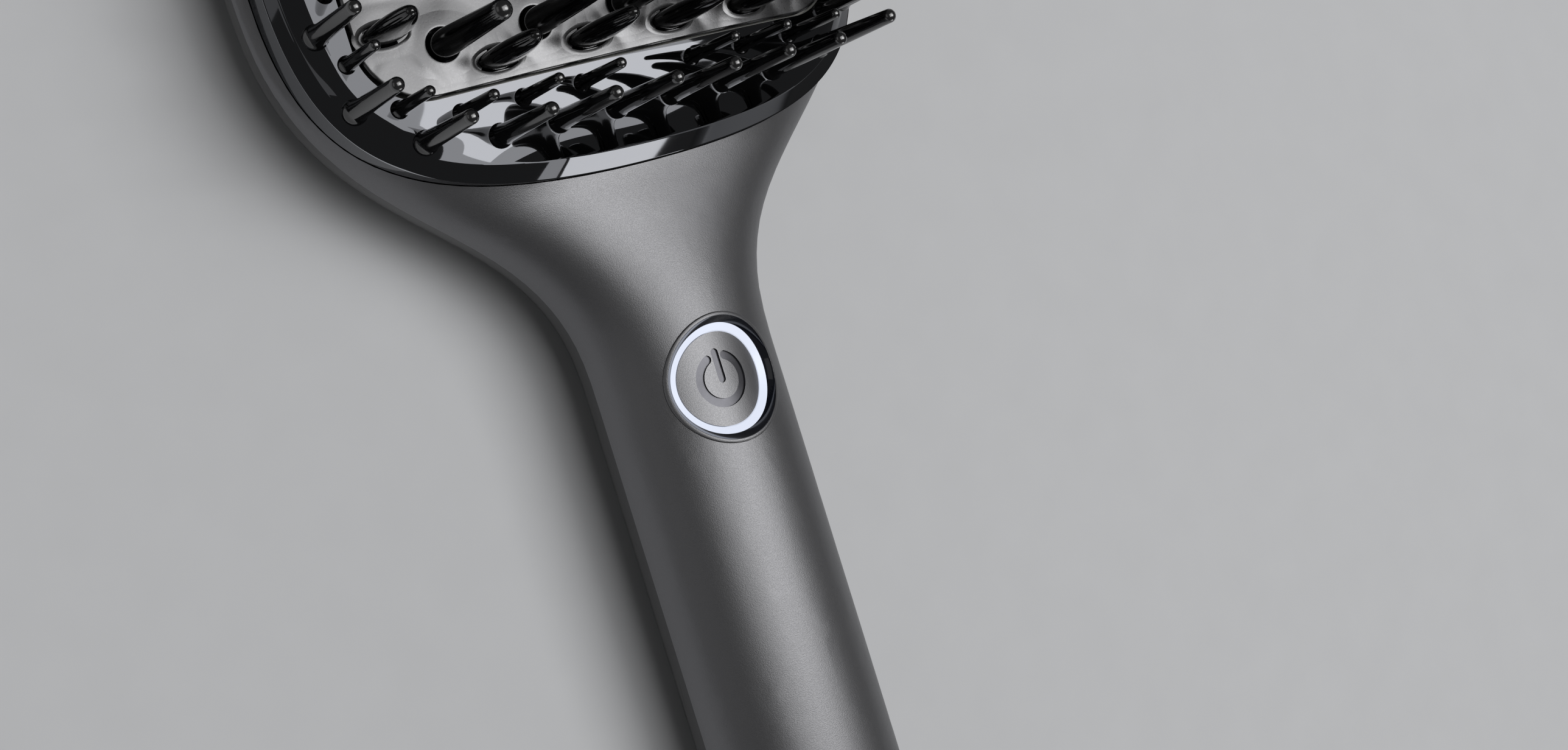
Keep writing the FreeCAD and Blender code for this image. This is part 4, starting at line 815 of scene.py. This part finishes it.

# %% [markdown]
# Where a tooth comes through, the metal is drawn up into a low collar, which sinks back into the
# plate so gently that no edge shows.  A collar is one profile, round for the round teeth and
# stretched to an oval for the flat ones.  Its bore lies in shade, which is painted on as a dark
# finish.

# %% Draw a collar
BORE = 2.28
# (radius, depth under the plate's surface), from the bore outwards
COLLAR = ((BORE, 0.9), (BORE, 0.0), (2.30, -0.08), (2.36, -0.14), (2.46, -0.165), (2.7, -0.14),
          (3.1, -0.095), (3.5, -0.06), (4.0, -0.025), (4.5, 0.0), (5.0, 0.025), (5.5, 0.05),
          (6.0, 0.08))


def oval_place(half_x, half_y, level):
    """A level ring, round or oval."""
    return lambda angle: (half_x * math.cos(angle), half_y * math.sin(angle), level)


def draw_collar(more_x, more_y, reach_share):
    """A ring of metal drawn up round a tooth, stretched to an oval by more_x and more_y."""
    rings = []
    for radius, down in COLLAR:
        spread = BORE + (radius - BORE) * reach_share
        rings.append(oval_place(spread + more_x, spread + more_y, -down))
    return draw_rings("collar", rings, centre_y=0.0, points=36, smooth_to=60)


round_collar = draw_collar(more_x=0.0, more_y=0.0, reach_share=1.0)
oval_collar = draw_collar(more_x=1.12, more_y=-0.66, reach_share=0.25)
print("a collar has", len(round_collar.data.polygons), "faces")

# %% Set a piece at every tooth's place
ROUND_PLACES = [((column - (4 if row % 2 else 3) / 2) * TEETH_ACROSS, row * TEETH_ALONG)
                for row in range(-3, 4) for column in range(5 if row % 2 else 4)]
FIN_PLACES = [((column - 1.5) * TEETH_ACROSS, end * END_TEETH_Y)
              for end in (-1, 1) for column in range(4)]
FIN_PLACES += [(side * SIDE_TEETH_X, (row - 2.5) * SIDE_TEETH_ALONG)
               for side in (-1, 1) for row in range(6)]


def copy_at(pattern, place):
    """A copy with a mesh of its own, placed in its mesh by a matrix."""
    twin = bpy.data.objects.new(pattern.name, pattern.data.copy())
    twin.data.transform(place)
    bpy.context.scene.collection.objects.link(twin)
    return twin


def set_on_plate(pattern, places):
    """A copy of a pattern at each place, level with the crowned plate; the pattern goes."""
    copies = []
    for x, y in places:
        spot = Vector((x, y + head_y, plate_level(x))) * MM
        tilt = Matrix.Rotation(x / PLATE_CROWN, 4, "Y")
        copies.append(copy_at(pattern, Matrix.Translation(spot) @ tilt))
    bpy.data.objects.remove(pattern)
    return copies


def join_all(pieces):
    """Joins pieces into the first of them."""
    pick(*pieces)
    bpy.ops.object.join()
    return pieces[0]


print(len(ROUND_PLACES), "round teeth and", len(FIN_PLACES), "flat ones")

# %% Collars round all the teeth
UPRIGHT = 0.2
collars = join_all(set_on_plate(round_collar, ROUND_PLACES) + set_on_plate(oval_collar, FIN_PLACES))
finish_piece(collars, "tooth_collars", "satin_plate", "housing")
# The collar's upright bore gets the dark resin as painted shade.
second_finish(collars, "dark_resin", lambda side: abs(side.normal.z) < UPRIGHT)

# %% [markdown]
# ## Pins
# A pin is a slim bar with a ball tip.  Its foot is a little wider than the bar and sits in the
# face like a grommet.  The frame has every pin at its place and lean, as one node of loose
# triangles.  Once their corners are merged, each pin is a set of points that hang together, and its
# lowest and highest points give its foot and its ball.

# %% Find the pins on the frame
OUTER_TIP, INNER_TIP = 1.0, 0.75
FOOT_SLICE = 0.4


def bristle_stands(node, ball_half):
    """Foot and ball centre of each bristle of a piece, in millimetres."""
    copy = bmesh.new()
    copy.from_mesh(nodes[node].data)
    bmesh.ops.remove_doubles(copy, verts=copy.verts, dist=DOUBLES)
    seen = set()
    found = []
    for first in copy.verts:
        if first in seen:
            continue
        seen.add(first)
        trail = [first]
        for point in trail:
            for edge in point.link_edges:
                other = edge.other_vert(point)
                if other not in seen:
                    seen.add(other)
                    trail.append(other)
        places = sorted((Vector(v.co) / MM for v in trail), key=lambda p: p.z)
        base = [p for p in places if p.z < places[0].z + FOOT_SLICE]
        foot = sum(base, Vector()) / len(base)
        found.append((foot, places[-1] - Vector((0, 0, ball_half))))
    copy.free()
    return found


outer_stands = bristle_stands("outer_pins", OUTER_TIP)
inner_stands = bristle_stands("inner_pins", INNER_TIP)
print(len(outer_stands), "large pins and", len(inner_stands), "small ones")

# %% [markdown]
# One bristle is drawn up from a circle, ring by ring, and a quarter of a circle gives its ball tip.
# It is copied to each stand, turned to the frame's lean and stretched a little where the stand is
# longer.  The copies are joined, so that all bristles of a kind are one piece.

# %% Draw one bristle up from a circle
POINTED = 0.004
CLOSES_AT = 0.01 * MM


def draw_bristle(profile, sides=28):
    """Extrudes a circle through (radius, height) steps; the last step closes it at a point."""
    radius, level = profile[0]
    bpy.ops.mesh.primitive_circle_add(vertices=sides, radius=radius * MM, fill_type="NGON",
                                      location=(0, 0, level * MM))
    bpy.ops.object.transform_apply(location=True)
    bpy.ops.object.mode_set(mode="EDIT")
    for new_radius, new_level in profile[1:]:
        bpy.ops.mesh.extrude_region_move(
            TRANSFORM_OT_translate={"value": (0, 0, (new_level - level) * MM)})
        share = new_radius / radius
        bpy.ops.transform.resize(value=(share, share, 1.0), center_override=(0, 0, 0))
        radius, level = new_radius, new_level
    close_up(CLOSES_AT, 40)
    return bpy.context.object


def ball_steps(half, centre, count=7):
    """The steps of a ball tip's upper half."""
    turns_up = [math.pi / 2 * k / count for k in range(1, count + 1)]
    return [(max(half * math.cos(a), POINTED), centre + half * math.sin(a)) for a in turns_up]


print("a ball tip has", len(ball_steps(OUTER_TIP, 0.0)), "rings")

# %% Stand copies of it
def plant_bristles(name, node, shape, tip, length, stands, drop_to=None, sides=28):
    """One bristle on each stand, as one piece; the balls get the burnished finish."""
    pattern = draw_bristle(shape + ball_steps(tip, length), sides)
    each = len(pattern.data.polygons)
    balls = {side.index for side in pattern.data.polygons if side.center.z > length * MM}
    copies = []
    for foot, ball in stands:
        lean = (ball - foot).normalized()
        low = foot if drop_to is None else drop_to(foot, lean)
        place = Matrix.Translation(low * MM) @ lean.to_track_quat("Z", "Y").to_matrix().to_4x4()
        stretch = Matrix.Diagonal((1, 1, (ball - low).length / length, 1))
        copies.append(copy_at(pattern, place @ stretch))
    bpy.data.objects.remove(pattern)
    piece = join_all(copies)
    finish_piece(piece, name, "bristle_black", "housing", node)
    second_finish(piece, "burnished_tip", lambda side: side.index % each in balls)


print("pins to stand:", len(outer_stands + inner_stands))

# %% [markdown]
# The solids' pins end at the crowned tray, but the drawn face lies lower in its moat.  So each
# pin's foot slides down along its own lean until it meets the face, which three steps find closely
# enough.  The grommet flares out over the lowest millimetre and a half, and ends half a millimetre
# under the face.

# %% Stand the pins in the moat
FLARE = ((0.93, 0.22), (0.7, 0.45), (0.4, 0.7), (0.15, 1.0), (0.0, 1.4))


def on_the_face(foot, lean):
    """Where a bristle's axis meets the face."""
    low = foot.copy()
    for _ in range(3):
        low -= lean * (low.z - face_height(low.x, low.y - head_y)) / lean.z
    return low


for node, stands, grommet, base, tip, length in (
        ("outer_pins", outer_stands, 1.75, 1.4, OUTER_TIP, 17.0),
        ("inner_pins", inner_stands, 1.28, 0.95, INNER_TIP, 12.0)):
    shape = [(grommet, -0.5), (grommet, 0.0)]
    shape += [(base + share * (grommet - base), rise) for share, rise in FLARE]
    shape += [(base + (tip - base) * share, length * share)
              for share in (0.25, 0.5, 0.75, 0.95, 1.0)]
    plant_bristles(node + "_in_sockets", node, shape, tip, length, stands, on_the_face)

# %% [markdown]
# ## Round teeth
# The round teeth carry the plate's heat into the hair.  They are thicker than the pins, coated with
# the same ceramic, and each comes up through a bore of the plate with a hair's breadth round it.
# The pattern is as long as the longest stand, so no copy is stretched past the frame's own teeth.

# %% Draw a round tooth and set one in each bore
TOOTH_BASE = 2.15
TOOTH_TIP = 1.4
tooth_stands = bristle_stands("round_teeth", TOOTH_TIP)
tooth_length = max((ball - foot).length for foot, ball in tooth_stands)
shape = [(TOOTH_BASE, 0.0)]
shape += [(TOOTH_BASE + (TOOTH_TIP - TOOTH_BASE) * share, tooth_length * share)
          for share in (0.2, 0.4, 0.6, 0.8, 0.9, 0.96, 1.0)]
plant_bristles("ball_teeth", "round_teeth", shape, TOOTH_TIP, tooth_length, tooth_stands, sides=32)
print(len(tooth_stands), "round teeth, up to", round(tooth_length + TOOTH_TIP, 2), "mm long")

# %% [markdown]
# ## Flat teeth
# The flat teeth round the plate's edge are blades with a full, round tip.  The frame's own ones
# taper to a small flat end, so one blade is drawn up from an oval and set in each bore.

# %% Draw a blade and set one in each bore
# (half its length across the head, half its thickness, height over the plate)
BLADE = ((3.12, 1.42, -4.0), (3.1, 1.42, 1.0), (3.0, 1.41, 3.8), (2.82, 1.39, 6.1),
         (2.55, 1.35, 8.1), (2.2, 1.28, 9.9), (1.8, 1.18, 11.4), (1.46, 1.06, 12.5),
         (1.16, 0.93, 13.3), (0.9, 0.76, 13.85), (0.63, 0.56, 14.22), (0.35, 0.32, 14.45),
         (0.02, 0.02, 14.53))
blade = draw_rings("blade", [oval_place(*ring) for ring in BLADE], centre_y=0.0, points=40,
                   smooth_to=60, fill="NGON")
blades = join_all(set_on_plate(blade, FIN_PLACES))
finish_piece(blades, "flat_teeth", "bristle_black", "housing", "fin_teeth")

# %% [markdown]
# ## The button's bowl
# The button lies in a shallow bowl that follows the grip's bend: a thin lacquered lip, a steep dark
# bevel, and the opal ring, whose slope faces the cap and throws its light on it.  All three are the
# same kind of ring: a circle that is extruded along a profile and laid on the bend.

# %% Rings laid on the grip's bend
GRIP_BEND = 17.0
GRIP_OVER_CAP = 0.45
LIP_FROM, LIP_ABOVE = 8.61, 17.2
grip_top = in_mm(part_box("power_button"))[1].z + GRIP_OVER_CAP


def on_bend(radius, rise):
    """A round ring laid on the grip's bend, so far over it."""
    def place_at(angle):
        x = radius * math.cos(angle)
        return x, radius * math.sin(angle), grip_top + rise + arch(x, GRIP_BEND)
    return place_at


def on_level(radius, level):
    return oval_place(radius, radius, level)


def from_button(side):
    """How far a face's middle lies from the button's."""
    return math.hypot(side.center.x / MM, side.center.y / MM - button_y)


bowl = [on_bend(8.6, 0.06), on_bend(7.84, -1.06), on_bend(7.78, -1.14), on_bend(7.74, -2.2),
        on_level(7.74, 17.6), on_level(4.9, 17.6), on_level(4.9, 16.8), on_level(9.15, 16.8),
        on_bend(9.15, -0.9), on_bend(9.15, 0.12), on_bend(9.12, 0.18), on_bend(9.05, 0.22),
        on_bend(8.76, 0.24), on_bend(8.68, 0.22), on_bend(8.62, 0.15)]
bezel = draw_rings("button_bowl", bowl + bowl[:1], button_y)
finish_piece(bezel, "button_bowl", "ring_gloss", "housing", "button_bezel")
second_finish(bezel, "shell_matte", lambda side: (from_button(side) > LIP_FROM
                                                  and side.center.z / MM > LIP_ABOVE))

opal = [on_bend(7.76, -1.12), on_bend(6.76, -1.88), on_bend(6.72, -2.03), on_level(6.72, 17.6),
        on_level(7.7, 17.6), on_bend(7.7, -2.1), on_bend(7.74, -1.2)]
glow = draw_rings("opal_ring", opal + opal[:1], button_y)
finish_piece(glow, "opal_ring", "ring_light", "housing", "light_ring")

# %% [markdown]
# ## The power button
# The cap lies low in the bowl, and its top has the grip's bend.  It starts as a block of narrow
# strips, whose upper points are set down on the bend.  The block is cut round, and the sign for
# power is cut into it, all with Booleans, so that walls and edges stay crisp.

# %% Bend a block for the cap
CAP_SINK = 1.96
CAP_LOW = 19.8
BLOCK, STRIPS = 16.0, 80


def cap_level(x):
    return grip_top - CAP_SINK + arch(x, GRIP_BEND)


bpy.ops.mesh.primitive_grid_add(x_subdivisions=STRIPS, y_subdivisions=1, size=BLOCK * MM)
cap = bpy.context.object
bpy.ops.object.mode_set(mode="EDIT")
bpy.ops.mesh.extrude_region_move(TRANSFORM_OT_translate={"value": (0, 0, 1 * MM)})
bpy.ops.mesh.select_all(action="SELECT")
bpy.ops.mesh.normals_make_consistent(inside=False)
bpy.ops.object.mode_set(mode="OBJECT")
for point in cap.data.vertices:
    upper = point.co.z > 0.5 * MM
    point.co.z = (cap_level(point.co.x / MM) if upper else CAP_LOW) * MM
    point.co.y += button_y * MM
print("cap block:", len(cap.data.polygons), "faces")

# %% [markdown]
# A cutter is an outline, walked round once and extruded.  A circle with as many corners as the
# outline is added, its corners are moved onto the outline, and its low side is then set to the
# depth of the cut at each place, which follows the bend.

# %% Cutters
def make_cutter(outline, low_at, high):
    """A cutter from an outline of (x, y); its low side lies at low_at(x)."""
    bpy.ops.mesh.primitive_circle_add(vertices=len(outline), fill_type="NGON")
    cutter = bpy.context.object
    for point, (x, y) in zip(cutter.data.vertices, outline):
        point.co = (x * MM, y * MM, -1 * MM)
    bpy.ops.object.mode_set(mode="EDIT")
    bpy.ops.mesh.select_all(action="SELECT")
    bpy.ops.mesh.extrude_region_move(TRANSFORM_OT_translate={"value": (0, 0, 2 * MM)})
    bpy.ops.mesh.select_all(action="SELECT")
    bpy.ops.mesh.quads_convert_to_tris()
    bpy.ops.mesh.normals_make_consistent(inside=False)
    bpy.ops.object.mode_set(mode="OBJECT")
    for point in cutter.data.vertices:
        point.co.z = (low_at(point.co.x / MM) if point.co.z < 0 else high) * MM
        point.co.y += button_y * MM
    return cutter


def carve(cutter, operation):
    """Applies a Boolean of the cap and a cutter; the cutter goes."""
    tool = cap.modifiers.new("carve", "BOOLEAN")
    tool.object = cutter
    tool.operation = operation
    tool.solver = "EXACT"
    pick(cap)
    bpy.ops.object.modifier_apply(modifier="carve")
    bpy.data.objects.remove(cutter)
    print("carved:", len(cap.data.polygons), "faces")


def arc(centre, radius, start, stop, steps):
    """Corners of an arc; angles run clockwise from the top."""
    turns = [start + (stop - start) * k / steps for k in range(steps + 1)]
    return [(centre[0] + radius * math.sin(a), centre[1] + radius * math.cos(a)) for a in turns]


CAP_RADIUS = 6.62
CUT_LOW, CUT_HIGH = 16.6, 26.0
cap_outline = arc((0, 0), CAP_RADIUS, 0, 2 * math.pi, 144)[:-1]
carve(make_cutter(cap_outline, lambda x: CUT_LOW, CUT_HIGH), "INTERSECT")

# %% [markdown]
# The common sign for power is an open ring with a bar in its gap.  Both have round ends, so their
# outlines are made of arcs.  They are sunk 0.3 mm, and the faces of the sunk floor and its walls
# get the smooth finish, whose darker colour is painted shade.

# %% Cut the sign
SIGN_OUT, SIGN_IN = 4.0, 2.75
SIGN_GAP = math.radians(25)
SIGN_DEEP = 0.3
BAR_HALF = 0.58
BAR_PAST_RING = 0.35
stroke = (SIGN_OUT - SIGN_IN) / 2
middle_reach = (SIGN_OUT + SIGN_IN) / 2


def sign_floor(x):
    return cap_level(x) - SIGN_DEEP


first, last = SIGN_GAP, 2 * math.pi - SIGN_GAP
start_end, stop_end = ((middle_reach * math.sin(a), middle_reach * math.cos(a))
                       for a in (first, last))
open_ring = arc((0, 0), SIGN_OUT, first, last, 72)
open_ring += arc(stop_end, stroke, last, last + math.pi, 12)[1:-1]
open_ring += arc((0, 0), SIGN_IN, last, first, 72)
open_ring += arc(start_end, stroke, first + math.pi, first + 2 * math.pi, 12)[1:-1]
bar = arc((0, 0), BAR_HALF, math.pi / 2, 3 * math.pi / 2, 12)
bar += arc((0, SIGN_OUT + BAR_PAST_RING - BAR_HALF), BAR_HALF, -math.pi / 2, math.pi / 2, 12)
for outline in (open_ring, bar):
    carve(make_cutter(outline, sign_floor, grip_top + 2), "DIFFERENCE")

# %% Finish the cap
SIGN_WITHIN = 4.7
ALL_BUT_TOP, ALL_BUT_FLOOR = 0.05, 0.2


def is_sunk(side):
    top = cap_level(side.center.x / MM) - ALL_BUT_TOP
    return from_button(side) < SIGN_WITHIN and CAP_LOW + ALL_BUT_FLOOR < side.center.z / MM < top


pick(cap)
bpy.ops.object.shade_smooth_by_angle(angle=math.radians(30))
finish_piece(cap, "power_cap", "button_matte", "button", "power_button")
# The sunk faces get the smooth lacquer, painted darker as shade.
second_finish(cap, "button_sign", is_sunk)
